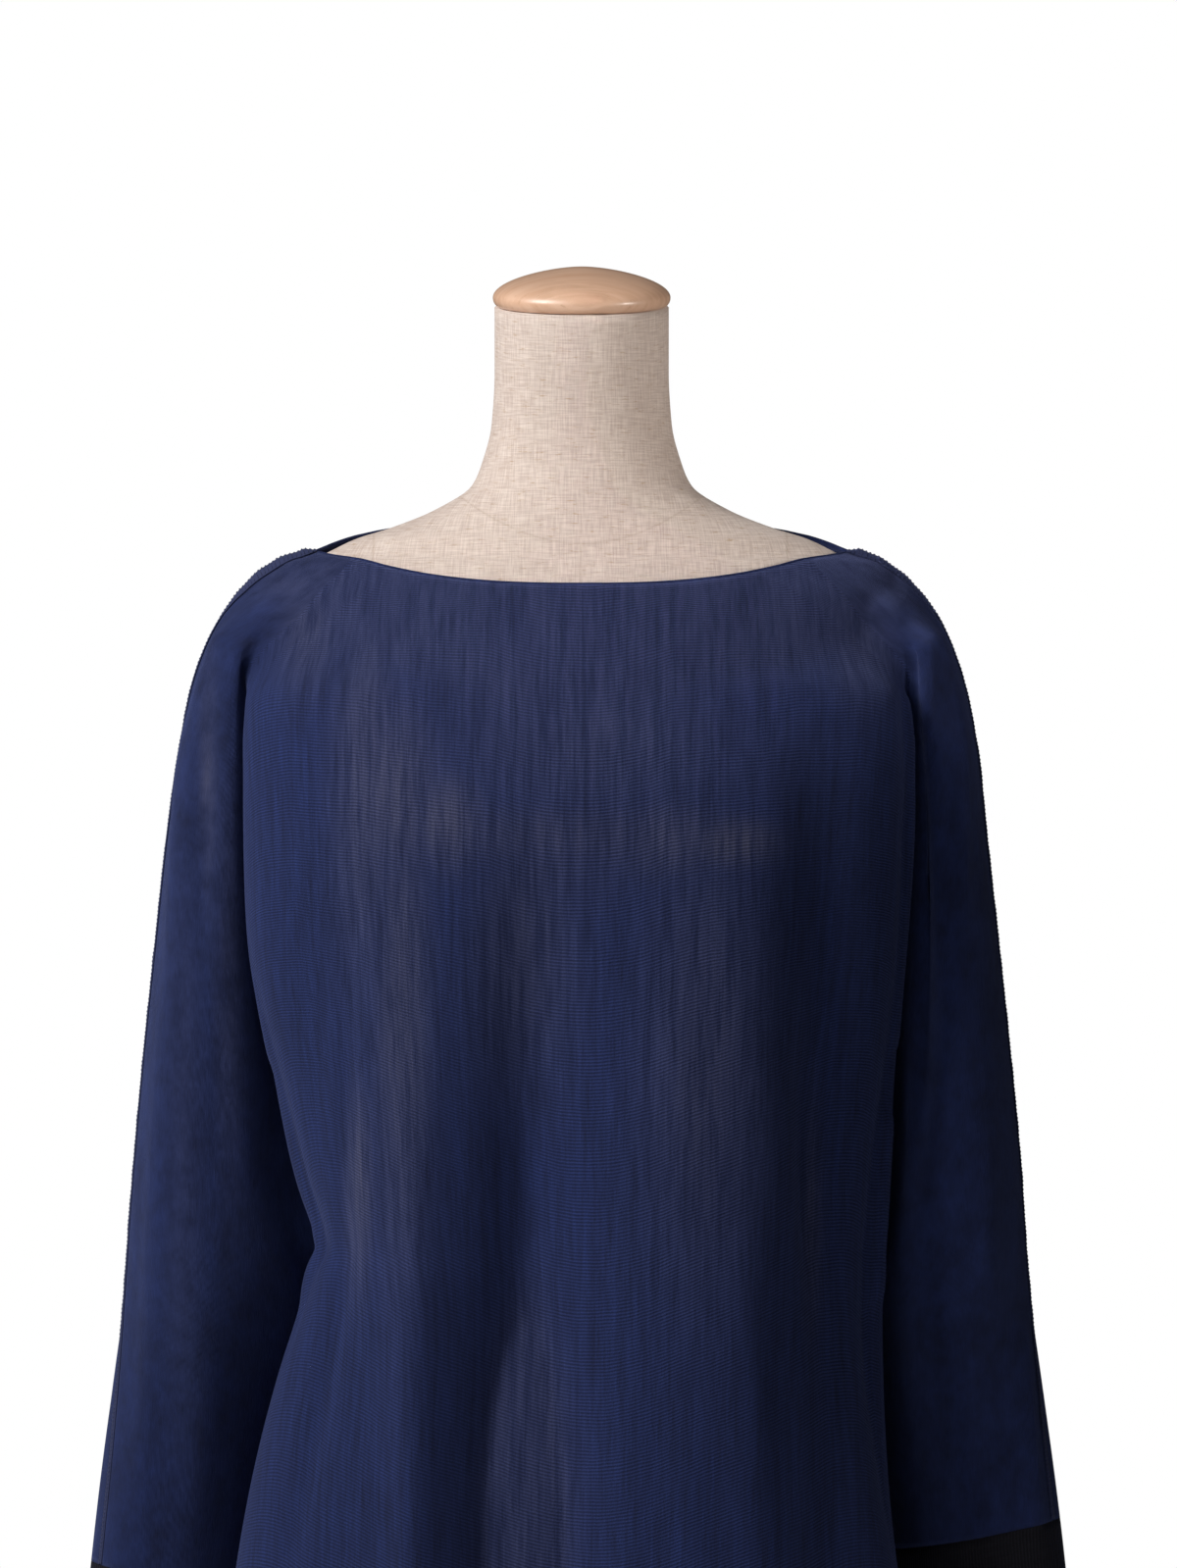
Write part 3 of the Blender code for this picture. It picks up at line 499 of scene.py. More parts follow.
# Smaller creases, in the same columns.
CREASES = {"front": (
    (45, 95, -184, -183.5, -183.5, 2.2, -2.4, 0),
    (180, 450, -127, -131, -136, 7.5, -4.8, 0.3),
    (330, 470, -115, -117, -116, 9, 2.8, 0),
    (365, 620, -127, -147, -170, 8, -5, 0.3),
    (150, 700, -18, -24, -20, 34, -25, 0.25),
    (80, 700, 78, 85, 90, 52, 8.5, 0),
    (260, 700, -100, -98, -104, 18, 11, -0.25),
    (220, 700, 136, 142, 154, 20, -8, 0.35),
    (480, 700, -105, -106, -110, 12, -3, 0.2),
    (380, 700, -48, -46, -44, 22, -9, 0.2),
    (20, 180, -156, -164, -156, 11, 1.6, 0.2),
    (260, 420, 54, 58, 66, 9, 1.4, 0.4),
    (420, 700, 48, 56, 50, 13, 1.6, -0.3),
    (280, 480, 125, 130, 134, 9, -7.5, -0.2),
    (80, 640, 144, 148, 152, 29, -15, 0.2),
    (130, 520, -152, -154, -150, 30, -7, -0.3),
    (85, 420, 190, 193, 184, 8, -11, 0),
    (74, 300, -223, -229, -235, 5, 3, 0.3),
    (240, 600, -234.5, -243, -254.5, 5.5, 3.4, 0.3),
    (70, 260, -211, -212.5, -215, 6, -2.6, 0),
    (110, 330, -203, -206, -205, 4, 2, 0.2),
    (420, 600, -210, -216, -223, 8, 2.2, 0.3),
    (55, 115, 196.5, 196.6, 197, 4, 2.4, 0.3),
    (30, 140, 185, 186, 187, 6, -4, 0),
    (80, 260, 215, 216.5, 215, 3.4, 4, 0.3),
    (240, 420, 213, 215, 219, 6, 2.6, 0.3),
    (320, 460, 229, 232, 236, 4.5, 2.2, 0.3),
    (430, 600, 253, 258.5, 263, 5, 4.4, 0.5),
    (430, 600, 215, 220, 229, 9, 2.6, -0.3),
), "back": (
    (180, 440, -120, -130, -136, 10, 3.6, 0.4),
    (200, 430, 124, 133, 140, 9, 3, -0.4),
    (360, 620, -125, -144, -162, 9, 4.2, -0.4),
    (380, 640, 129, 142, 156, 10, 3.8, 0.4),
    (300, 700, -42, -50, -56, 12, -4, 0.4),
    (360, 700, 61, 56, 62, 11, -3.6, -0.4),
    (120, 300, 2, -4, 6, 14, -1.6, 0.2),
    (90, 330, -220, -228, -234, 5.5, 2.8, 0.3),
    (110, 380, 214, 218, 221, 5.5, 2.6, -0.3),
    (420, 600, -228, -235, -246, 8, 3, 0.3),
    (430, 600, 230, 239, 246, 7, 3, -0.3),
)}
FOLDS_AND_CREASES = {layer: FOLDS[layer] + CREASES[layer] for layer in FOLDS}
# Where linen shows through, one a row, and on the sleeves beyond the form, where no linen lies behind, painted light:
# lighter bands of light through the thin cloth and of highlight on its ridges. Columns: x and drop of its middle, its
# half sizes, and how clearly.
LINEN_AND_LIGHT_PATCHES = {"front": (
    (-154, 50, 18, 34, 0.36),
    (158, 60, 20, 30, 0.3),
    (-74, 156, 20, 26, 0.52),
    (-5, 164, 90, 20, 0.32),
    (-104, 140, 26, 52, 0.46),
    (82, 168, 24, 13, 0.64),
    (48, 166, 36, 22, 0.42),
    (-100, 270, 15, 130, 0.42),
    (-120, 130, 18, 110, 0.4),
    (-30, 230, 30, 70, 0.28),
    (70, 290, 35, 120, 0.3),
    (10, 110, 90, 50, 0.25),
    (-124, 360, 7, 50, 0.55),
    # Painted light on the sleeve, where no linen lies behind: lighter bands of light through the cloth and of
    # highlight.
    (-211, 130, 5, 60, 0.4),
    (-200, 250, 7, 110, 0.22),
    (-225, 330, 9, 160, 0.14),
    (129, 380, 5, 60, 0.35),
), "back": (
    (-90, 110, 40, 60, 0.5),
    (90, 110, 40, 60, 0.5),
    (0, 300, 60, 160, 0.25),
    # Painted light on the sleeves, as on the front's: lighter bands of light through the cloth and of highlight.
    (-208, 200, 8, 120, 0.4),
    (202, 200, 8, 120, 0.4),
)}
# How finely the cloth is cut: steps in each stretch between named points, about 4 mm each.
SLEEVE_STEPS = (2, 8, 6, 6, 4)
BODY_STEPS = (3, 4, 9, 9, 12, 16, 22)
DOWN_STEPS = (4, 4, 4, 4, 6, 8, 11, 13, 17, 14, 7, 3, 2, 6, 10, 14, 18, 15)

LIP_SHARE = {"right": 0.17, "left": 0.22}  # how near the sleeve's cloth comes to the body's edge
LIP = {"right": 0.1905, "left": 0.1865}  # where it turns back to the fold, at the nearest
SLEEVE_ROLL = 0.10  # how far it rolls back before that turn
SIDES = {"right": -1.0, "left": 1.0}
EDGES = {"right": 0, "left": -1}  # each side's column in a body net
OUT = {"front": -1.0, "back": 1.0}
BODY_ANGLES = np.radians((90.0, 73.0, 56.0, 38.0, 19.0, 0.0))
BODY_ROUNDING = 2.0 / 2.4
SLEEVE_KEYS = 6  # named points across a sleeve's layer
BODY_KEYS = 1 + len(BODY_ANGLES)  # and from the fold beside it to the middle of the body
SHOULDER_ROWS = sum(DOWN_STEPS[: len(SHOULDER_SECTIONS["seam"]) + 1])
TAUT_ROW = 18
UNDERARM_ROW = sum(DOWN_STEPS[: len(SHOULDER_SECTIONS["seam"]) + len(SECTIONS["seam"])])
CUFF_ROW = sum(DOWN_STEPS[:-1])
HEM_DROP = 0.66


def rows_of(columns, side):
    """A table's rows by column name. At the left, a left_ column stands in for its plain one."""
    if side == "left":
        columns = columns | {name[5:]: column for name, column in columns.items() if name.startswith("left_")}
    return [dict(zip(columns, row)) for row in zip(*columns.values())]


def smooth_through(points, steps):
    """Rows of points, with that many smooth steps from each row to the next (chord-length Hermite curves)."""
    chord = np.linalg.norm(np.diff(points, axis=0), axis=-1, keepdims=True) + 1e-9
    heading = np.diff(points, axis=0) / chord
    inner = (heading[:-1] * chord[1:] + heading[1:] * chord[:-1]) / (chord[1:] + chord[:-1])
    tangent = np.concatenate([heading[:1], inner, heading[-1:]])
    rows = []
    for i, count in enumerate(steps):
        leave, arrive = chord[i] * tangent[i], chord[i] * tangent[i + 1]
        rows += [between(k / count, points[i], points[i + 1], leave, arrive) for k in range(count)]
    return np.array(rows + [points[-1]])


def form_value(points):
    """Below zero inside the torso, above zero outside it."""
    level = at_drop(FORM, SHOULDER_HEIGHT - points[..., 2])
    y = points[..., 1] - level["centre"]
    depth = np.where(y < 0, level["front"], level["back"])
    power = level["squareness"]
    across, through = np.abs(points[..., 0]) / level["half_width"], np.abs(y) / depth
    return (across**power + through**power) ** (1.0 / power) - 1.0


def form_gap(points):
    """Distance from the torso's surface, and the way out of it."""
    reach = 0.0004
    steps = [form_value(points + offset) - form_value(points - offset) for offset in np.eye(3) * reach]
    gradient = np.stack(steps, axis=-1) / (2 * reach)
    size = np.linalg.norm(gradient, axis=-1, keepdims=True) + 1e-9
    return form_value(points) / size[..., 0], gradient / size


def rest_on_form(points, hold):
    """Moves cloth out of the torso; where hold is 1 it also draws it down onto the torso."""
    for _ in range(5):
        gap, out = form_gap(points)
        short = CLOTH_CLEARANCE - gap
        move = np.maximum(short, 0.0) + hold * np.minimum(short, 0.0)
        points = points + out * np.clip(move, -0.01, 0.01)[..., None]
    return points


def place(x, y, drop):
    return np.array([x, y, SHOULDER_HEIGHT - drop])


def neckline(layer):
    """The top row, from the corner to the middle, with as many points as the sections have."""
    shares = np.concatenate([np.linspace(1.0, 0.86, SLEEVE_KEYS), np.linspace(0.86, 0.0, BODY_KEYS + 1)[1:]])
    rows = []
    for share in shares:
        y = SEAM_Y + (NECK_REACH[layer] - SEAM_Y) * (1.0 - share**2.4) ** 0.62
        drop = NECK_DIP * (1.0 - share**2.3) if layer == "front" else -NECK_RISE * (1.0 - share**5)
        rows.append(place(NECK_CORNER[0] * share, y, NECK_CORNER[1] + drop))
    return np.array(rows)


def body_arc(edge, edge_y, depth, drop, side):
    """From the body's edge beside the sleeve round to its middle."""
    ease = UNDERARM_EASE[side] * math.exp(-(((drop - UNDERARM_DROP) / 0.030) ** 2))
    rows = []
    for angle in BODY_ANGLES:
        x = (edge + ease * math.cos(angle)) * math.sin(angle) ** BODY_ROUNDING
        y = edge_y + (depth - edge_y) * max(0.0, math.cos(angle)) ** BODY_ROUNDING
        rows.append(place(x, y, drop))
    return rows


def turns(layer, drop):
    """The sleeve's and the body's turns at a drop, and how far the back's edge lies in from the front's."""
    at = at_drop(LOBES, drop)
    return at[layer], at["edge_" + layer], at["back_in"] if layer == "back" else 0.0


def full_section(row, layer, side):
    """Named points of one section above the underarm, from the sleeve's outer seam to the middle."""
    out = OUT[layer]
    lobe_y, edge_y, inward = turns(layer, row["body_drop"])
    seam, edge, fold, fold_y = row["seam"], row["edge"] - inward, row["fold"], row["fold_" + layer]
    seam_y = SEAM_Y + out * SEAM_GAP / 2
    width = seam - edge

    def drop(share):
        return row["seam_drop"] + (row["body_drop"] - row["seam_drop"]) * share

    # Lower down, the sleeve's cloth falls in a steep wall from its lip to the fold.
    lip = max(edge + LIP_SHARE[side] * width, LIP[side])
    wall = ramp(row["body_drop"], 0.20, 0.32)
    roll = SLEEVE_ROLL * ramp(row["body_drop"], 0.13, 0.23)
    turn_x = fold + (0.12 + 0.38 * wall) * (lip - fold) + 0.002 * (1.0 - wall)
    sleeve = [
        place(seam, seam_y, drop(0.0)),
        place(seam - 0.0008, seam_y + out * 0.0060, drop(0.03)),
        place(seam - 0.26 * width, seam_y + (0.85 + 0.08 * wall) * (lobe_y - seam_y), drop(0.15)),
        place(lip, lobe_y + (0.16 * wall - 0.12 + roll) * (fold_y - lobe_y), drop(0.32)),
        place(turn_x, fold_y + (0.36 + 0.04 * wall - 0.5 * roll) * (lobe_y - fold_y), drop(0.45)),
        place(fold, fold_y, drop(0.55)),
    ]
    turn = place(fold + 0.35 * (edge - fold) - 0.0012, fold_y + 0.48 * (edge_y - fold_y), drop(0.65))
    body = body_arc(edge, edge_y, out * row[layer], drop(1.0), side)
    body[0][2] = SHOULDER_HEIGHT - drop(0.76)
    body[1][2] = SHOULDER_HEIGHT - drop(0.90)
    return np.array(sleeve + [turn] + body)


def lower_body(row, layer, side):
    """One section of the body below the underarm, from the side seam to the middle."""
    out, drop, side_x = OUT[layer], row["drop"], row["side"]
    _, edge_y, inward = turns(layer, drop)
    edge = row["edge"] - inward
    seam_y = SIDE_SEAM_Y + out * SEAM_GAP / 2
    half = place(side_x + 0.40 * (edge - side_x), seam_y + 0.50 * (edge_y - seam_y), drop)
    return [place(side_x, seam_y, drop), half] + body_arc(edge, edge_y, out * row[layer], drop, side)


def lower_sleeve(row, layer):
    """One section of a sleeve below the underarm, from its outer seam to its inner seam."""
    outer = np.array([row["seam"], SEAM_Y])
    inner = np.array([row["inner"], row["inner_y"]])
    aside = unit(inner - outer)[::-1] * (OUT[layer], -OUT[layer])
    belly, open_up = row["belly_" + layer], ramp(row["drop"], 0.50, 0.41)
    shape = (  # the share of the way between the seams, and how far the cloth stands off it
        (0.0, 0.0), (0.006, 0.0060), (0.26, 0.98 * belly), (0.77, (0.78 - 0.08 * open_up) * belly),
        (0.98, (0.28 + 0.08 * open_up) * belly), (1.0, open_up * SEAM_GAP / 2),
    )
    rows = []
    for share, stand in shape:
        x, y = outer + (inner - outer) * share + aside * (stand + SEAM_GAP / 2)
        rows.append(place(x, y, row["drop"] - row["rise"] * (x - inner[0])))
    return rows


def half_net(layer, side):
    """Named points of half a panel above the underarm: neckline, shoulder, then the full sections."""
    rows = [full_section(row, layer, side) for row in rows_of(SECTIONS, side)]
    rows[-1][SLEEVE_KEYS - 1, 1] += OUT[layer] * SEAM_GAP  # the last fold reaches the seam
    top = neckline(layer)
    pull = ramp(np.arange(len(top)), SLEEVE_KEYS + 1.0, 0.0)[:, None]
    shoulder = []
    for row in rows_of(SHOULDER_SECTIONS, side):
        points = top + (rows[0] - top) * row["share"]
        seam = place(row["seam"], SEAM_Y + OUT[layer] * SEAM_GAP / 2, row["seam_drop"])
        shoulder.append(points + pull * (seam - points[0]))
    top[0, 1] = SEAM_Y + OUT[layer] * SEAM_GAP / 2
    return np.array([top] + shoulder + rows)


def settled(points, layer):
    """Rests a net on the form: drawn down onto it over the shoulders, and only kept clear of it below. The back
    neckline stands free of it."""
    section = np.interp(np.arange(len(points)), np.cumsum((0, *DOWN_STEPS)), range(len(DOWN_STEPS) + 1))[:, None]
    hold = eased(ramp(section, 4.0, 0.8)) * ramp(np.abs(points[..., 0]), 0.168, 0.108)
    return rest_on_form(points, hold * ramp(section, 0.0, 1.0) if layer == "back" else hold)


def relaxed(net, share, passes, across=1.0):
    """Draws each inner point of a net by its share towards the middle of its neighbours above and below, and of
    those across from it."""
    for _ in range(passes):
        mean = net.copy()
        beside = net[1:-1, :-2] + net[1:-1, 2:]
        mean[1:-1, 1:-1] = (net[:-2, 1:-1] + net[2:, 1:-1] + beside * across) / (2 + 2 * across)
        net = net + (mean - net) * share
    return net


def taut(sleeve, body):
    """Draws the cloth smooth over the shoulder, down to where the fold between sleeve and body starts."""
    upper, edge = slice(UNDERARM_ROW + 1), sleeve.shape[1] - 1
    net = np.concatenate([sleeve[upper, :-1], body[upper]], axis=1)
    rows, columns = np.arange(net.shape[0])[:, None, None], np.arange(net.shape[1])[None, :, None]
    share = ramp(rows, TAUT_ROW, TAUT_ROW - 6.0) * ramp(columns, 0.0, 3.0) * (rows > 0)
    net = relaxed(net, share * ramp(np.abs(net[..., :1]), 0.060, 0.100), 90)
    sleeve[upper], body[upper] = net[:, : edge + 1], net[:, edge:]
    return sleeve, body


def softened(net):
    """Evens out a sleeve's rows where its two halves part at the underarm, but leaves its edges in place."""
    from_underarm = np.abs(np.arange(len(net)) - UNDERARM_ROW)[:, None, None]
    columns = np.arange(net.shape[1])
    from_edge = np.minimum(columns, columns[::-1])[None, :, None]
    return relaxed(net, ramp(from_underarm, 18.2, 4.2) * ramp(from_edge, 0.0, 5.0), 40, across=0.0)


def stand_out(points, layer, folds):
    """Stands the cloth out or in along each fold: its line runs through three places, and fades at its ends."""
    drop = SHOULDER_HEIGHT - points[..., 2]
    normal = unit(np.cross(np.gradient(points, axis=0), np.gradient(points, axis=1)))
    normal *= np.sign(normal[..., 1:2] * OUT[layer] + 1e-9)
    moved = points.copy()
    for *sizes, sharp in folds[layer]:
        top, bottom, *line, width, depth = np.array(sizes) / 1000
        along = ramp(drop, top, bottom)
        fade = np.sin(np.pi * along**0.8) ** 1.4
        if bottom > HEM_DROP:
            fade = np.sin(np.pi / 2 * ramp(along, 0.0, 1 / 1.6))
        off = (points[..., 0] - glide(along, np.array([0.0, 0.5, 1.0]), np.array(line))) / width
        moved += normal * (depth * fade * np.exp(-(off**2)) * (1.0 - sharp * np.tanh(2.0 * off)))[..., None]
    across, down = lengths(points, 1), lengths(points, 0)
    inside = np.minimum(np.minimum(across, across[:, -1:] - across) / 0.009, down / 0.012)
    return points + (moved - points) * eased(np.clip(inside, 0.0, 1.0))[..., None]


def refine(net, steps):
    across = np.swapaxes(smooth_through(np.swapaxes(net, 0, 1), steps), 0, 1)
    return smooth_through(across, DOWN_STEPS)


def cloth_nets(layer):
    """Rows of points for the body and for both sleeves of one panel. The body's run from the neckline to the
    hem, and a sleeve's from its shoulder to the end of its cuff."""
    sleeves, halves = {}, {}
    for side, sign in SIDES.items():
        upper = half_net(layer, side)
        lower = [lower_body(row, layer, side) for row in rows_of(BODY_SECTIONS, side)]
        hang = [lower_sleeve(row, layer) for row in rows_of(SLEEVE_SECTIONS, side)]
        body = np.concatenate([upper[:, SLEEVE_KEYS - 1 :], lower]) * (sign, 1.0, 1.0)
        sleeve = np.concatenate([upper[:, :SLEEVE_KEYS], hang]) * (sign, 1.0, 1.0)
        sleeves[side], halves[side] = taut(refine(sleeve, SLEEVE_STEPS), refine(body, BODY_STEPS))
    whole = np.concatenate([halves["right"], halves["left"][:, -2::-1]], axis=1)
    whole = settled(relaxed(stand_out(whole, layer, FOLDS_AND_CREASES), 0.5, 4), layer)
    for side, column in EDGES.items():
        net = settled(stand_out(softened(sleeves[side]), layer, CREASES), layer)
        net[: UNDERARM_ROW + 1, -1] = whole[: UNDERARM_ROW + 1, column]
        net[: UNDERARM_ROW + 1, 0, 1] = SEAM_Y + OUT[layer] * SEAM_GAP / 2
        sleeves[side] = net
    return whole, sleeves


def body_knit(net):
    """Where each point of the body lies in the knit, in metres: (along the courses, across the courses). The
    courses sag towards the sleeves at the chest."""
    across, down = lengths(net, 1), lengths(net, 0)
    middle = net.shape[1] // 2
    drop = SHOULDER_HEIGHT - net[..., 2]
    sag = 0.26 * np.maximum(np.abs(net[..., 0]) - 0.05, 0.0) * np.exp(-((drop / 0.24) ** 4))
    return np.stack([across - across[:, middle : middle + 1], down + drop[:1] - sag], axis=-1)


def sleeve_knit(net, edge):
    """The same for a sleeve, whose courses turn to run down it and are drawn out there, with wider streaks.
    `edge` is the body's knit along its fold."""
    across, down = lengths(net, 1), lengths(net, 0)
    start = edge[: SHOULDER_ROWS + 6, 1] - 3.0 * across[: SHOULDER_ROWS + 6, -1]
    start = np.pad(start, (4, 4 + len(net) - len(start)), mode="edge")
    start = np.convolve(start, np.full(9, 1 / 9), mode="valid")
    return np.stack([0.12 * down + edge[0, 0], 3.0 * across + start[:, None]], axis=-1)


def linen_and_painted_light_of(points, layer):
    """How clearly the linen shows through where the cloth lies on the form and in the listed patches. On the sleeves,
    where no linen lies behind, the patches are painted light: lighter bands of light through the cloth and of
    highlight.
    """
    gap, _ = form_gap(points)
    x, drop = points[..., 0], SHOULDER_HEIGHT - points[..., 2]
    shown = 0.22 * np.exp(-np.maximum(gap - 0.0020, 0.0) / 0.006)
    for *sizes, strength in LINEN_AND_LIGHT_PATCHES[layer]:
        middle_x, middle_drop, half_wide, half_high = np.array(sizes) / 1000
        patch = np.exp(-(((x - middle_x) / half_wide) ** 2) - ((drop - middle_drop) / half_high) ** 2)
        shown = np.maximum(shown, strength * patch)
    return shown


def cloth_object(name, nets, surface, layer, facing):
    """Welds the nets of a piece of cloth and gives it its thickness, half of it on each side."""
    bm = bmesh.new()
    shown = bm.verts.layers.float.new("sheer")
    for net, pattern in nets:
        grid_of(bm, net, pattern, (shown, linen_and_painted_light_of(net, layer)))
    weld(bm, 0.00005, fill=False)
    piece = finish(name, bm, surface, facing)
    wall = piece.modifiers.new("cloth wall", "SOLIDIFY")
    wall.thickness = CLOTH
    wall.offset = 0.0
    return piece


def single_jersey(name, dark, light, linen_and_light_tone, sheen):
    """Single jersey: courses as fine ribs, uneven wales as streaks across them, and a soft fuzz of loose fibres."""
    knit = Surface(name)
    pattern = knit.pattern()

    def yarn(along, across, detail, rough):
        """Noise whose grain has that length along the courses and across them, in metres."""
        return knit.noise(pattern, (along, across, 1.0), detail, dimensions="2D", Roughness=rough)

    turn = knit.weigh((yarn(0.022, 0.030, 2.0, 0.5), 5.0), (knit.part(pattern, "Y"), 2 * math.pi / COURSE_PITCH))
    course = knit.calc("SINE", turn)
    wales, bands = yarn(0.0013, 0.024, 3.0, 0.6), yarn(0.0045, 0.070, 3.0, 0.6)
    heather = yarn(0.0010, 0.0010, 2.0, 0.6)
    streak = knit.spread(knit.weigh((wales, 0.45), (bands, 0.55)), 0.28, 0.72)
    see_through_streaks = knit.spread(knit.weigh((wales, 0.40), (bands, 0.65)), 0.40, 0.70, 0.25, 1.35)
    # The attribute mixes in the linen's tone where it shows through the knit. On the sleeves' patches it is painted
    # light: lighter bands of light through the cloth and of highlight.
    seen = knit.add("Attribute", output="Fac", attribute_name="sheer")
    sheer = knit.calc("MINIMUM", knit.calc("MULTIPLY", seen, see_through_streaks), 1.0)
    tone = knit.mix(sheer, knit.mix(streak, dark, light), linen_and_light_tone)
    lifted = knit.spread(knit.weigh((course, 0.32), (heather, 0.70)), 0.0, 0.70, 0.60, 1.40)
    knit.bump(knit.weigh((course, 0.7), (heather, 1.6), (wales, 0.8)), 0.6, 0.00035)
    knit.look({
        "Base Color": knit.add("VectorMath", {0: tone, "Scale": lifted}, operation="SCALE"),
        "Roughness": 0.88, "Specular IOR Level": 0.18,
        "Sheen Weight": sheen, "Sheen Roughness": 0.45, "Sheen Tint": "#7480B8",
    })
    return knit


navy = single_jersey("navy single jersey", "#141B39", "#1F2B57", "#4A4A5C", 0.30)

panel_nets = {layer: cloth_nets(layer) for layer in OUT}
panels = {}
for layer, (whole, sleeves) in panel_nets.items():
    body = body_knit(whole)
    nets = [(whole, body)]
    for side, column in EDGES.items():
        sleeve = sleeve_knit(sleeves[side], body[: UNDERARM_ROW + 1, column])
        nets.append((sleeves[side][: CUFF_ROW + 1], sleeve[: CUFF_ROW + 1]))
    panels[layer] = cloth_object(layer + "_panel_jersey", nets, navy, layer, OUT[layer])
    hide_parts(layer + "_panel")


# -------- sweater: cuffs
# Each cuff is a straight band of black jersey of the same gauge, closed at its inner seam and sewn to the
# sleeve's end.

black = single_jersey("black single jersey", "#0E0D13", "#17161D", "#1C1A20", 0.12)
for side in SIDES:
    front, back = (panel_nets[layer][1][side][CUFF_ROW:] for layer in OUT)
    loop = np.concatenate([front, back[:, -2:0:-1], front[:, :1]], axis=1)
    loop[0, :, 2] -= SEAM_GAP
    cloth_object("cuff_jersey_" + side, [(loop, None)], black, "front", -1.0)
    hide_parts("cuff_" + side)


# -------- sweater: rolled edges and joining seams
# The neckline and the hem are finished with a narrow rolled edge of the same jersey. The side seams, the sleeves'
# inner seams and the cuffs' seams lie as thin closed lines in the knit.

ROLL_RADIUS = 0.0010
JOIN_RADIUS = 0.0006


def rope(bm, path, radius, sides=8, closed=False):
    """A round strand along a path of points."""
    heading = np.gradient(path, axis=0)
    if closed:
        heading[0] = heading[-1] = path[1] - path[-2]
    heading = unit(heading)
    side = np.cross(heading, (0.0, 0.0, 1.0))
    weak = np.linalg.norm(side, axis=1, keepdims=True) < 0.2
    side = unit(np.where(weak, np.cross(heading, (0.0, 1.0, 0.0)), side))
    up = np.cross(side, heading)
    turn = np.linspace(0.0, 2 * np.pi, sides + 1)[None, :, None]
    net = path[:, None] + radius * (side[:, None] * np.cos(turn) + up[:, None] * np.sin(turn))
    grid_of(bm, net)


def strands(name, paths, radius, surface, sides=8, closed=False):
    """A trim made of round strands, closed at their ends."""
    bm = bmesh.new()
    for path in paths:
        rope(bm, path, radius, sides, closed)
    weld(bm, 0.00003)
    trim = finish(name, bm, surface)
    return trim


trims = []
for layer, (whole, sleeves) in panel_nets.items():
    top = np.concatenate([sleeves["right"][0], whole[0, 1:-1], sleeves["left"][0][::-1]])
    for rolled, path in (("neckline", top), ("hem", whole[-1])):
        trims.append(strands(f"{layer}_{rolled}_roll", [path], ROLL_RADIUS, navy, 10))

for side, column in EDGES.items():
    bodies = [panel_nets[layer][0] for layer in OUT]
    front, back = (panel_nets[layer][1][side] for layer in OUT)
    side_seam = (bodies[0] + bodies[1])[UNDERARM_ROW + 1 :, column] / 2
    inner, outer = ((front + back)[:, edge] / 2 for edge in (-1, 0))
    seams = [side_seam, inner[UNDERARM_ROW + 1 : CUFF_ROW], outer[:CUFF_ROW]]
    trims.append(strands("joining_seams_" + side, seams, JOIN_RADIUS, navy))
    ring = np.concatenate([front[CUFF_ROW], back[CUFF_ROW][::-1], front[CUFF_ROW][:1]])
    trims.append(strands("cuff_seam_" + side, [ring], JOIN_RADIUS, black, closed=True))


# -------- sweater: shoulder seams
# The panels' edges are overlocked together and left outside, as a ridge that stands up along the shoulder and
# lies lower down the sleeve. Thread loops wrap its edge every few millimetres.

RIDGE_TOP = 0.0052  # how far the overlocked allowance stands out at the neck
RIDGE_LOW = 0.0015  # and down the sleeve
RIDGE_WIDTH = 0.0020
RIDGE_FOOT = 0.0001  # how far off the cloth it starts
RIDGE_STEP = 0.0012
LAID_OVER = {"right": 0.0050, "left": 0.0015}  # how far in front of the seam the shoulder's ridge is rooted
LOOP_PITCH = 0.0024
LOOP_RADIUS = 0.00030
LOBE_COLUMN = sum(SLEEVE_STEPS[:2])

# Spun polyester overlock thread, darker than the knit, with a slight twist that shows as fine slanting ribs.
thread = Surface("spun polyester overlock thread")
twist = thread.noise(thread.pattern(), (0.0006, 0.0012, 1.0), 2.0)
thread.bump(twist, 0.5, 0.0003)
thread.look({"Base Color": thread.mix(twist, "#12183A", "#212C58"), "Roughness": 0.85, "Sheen Weight": 0.1})

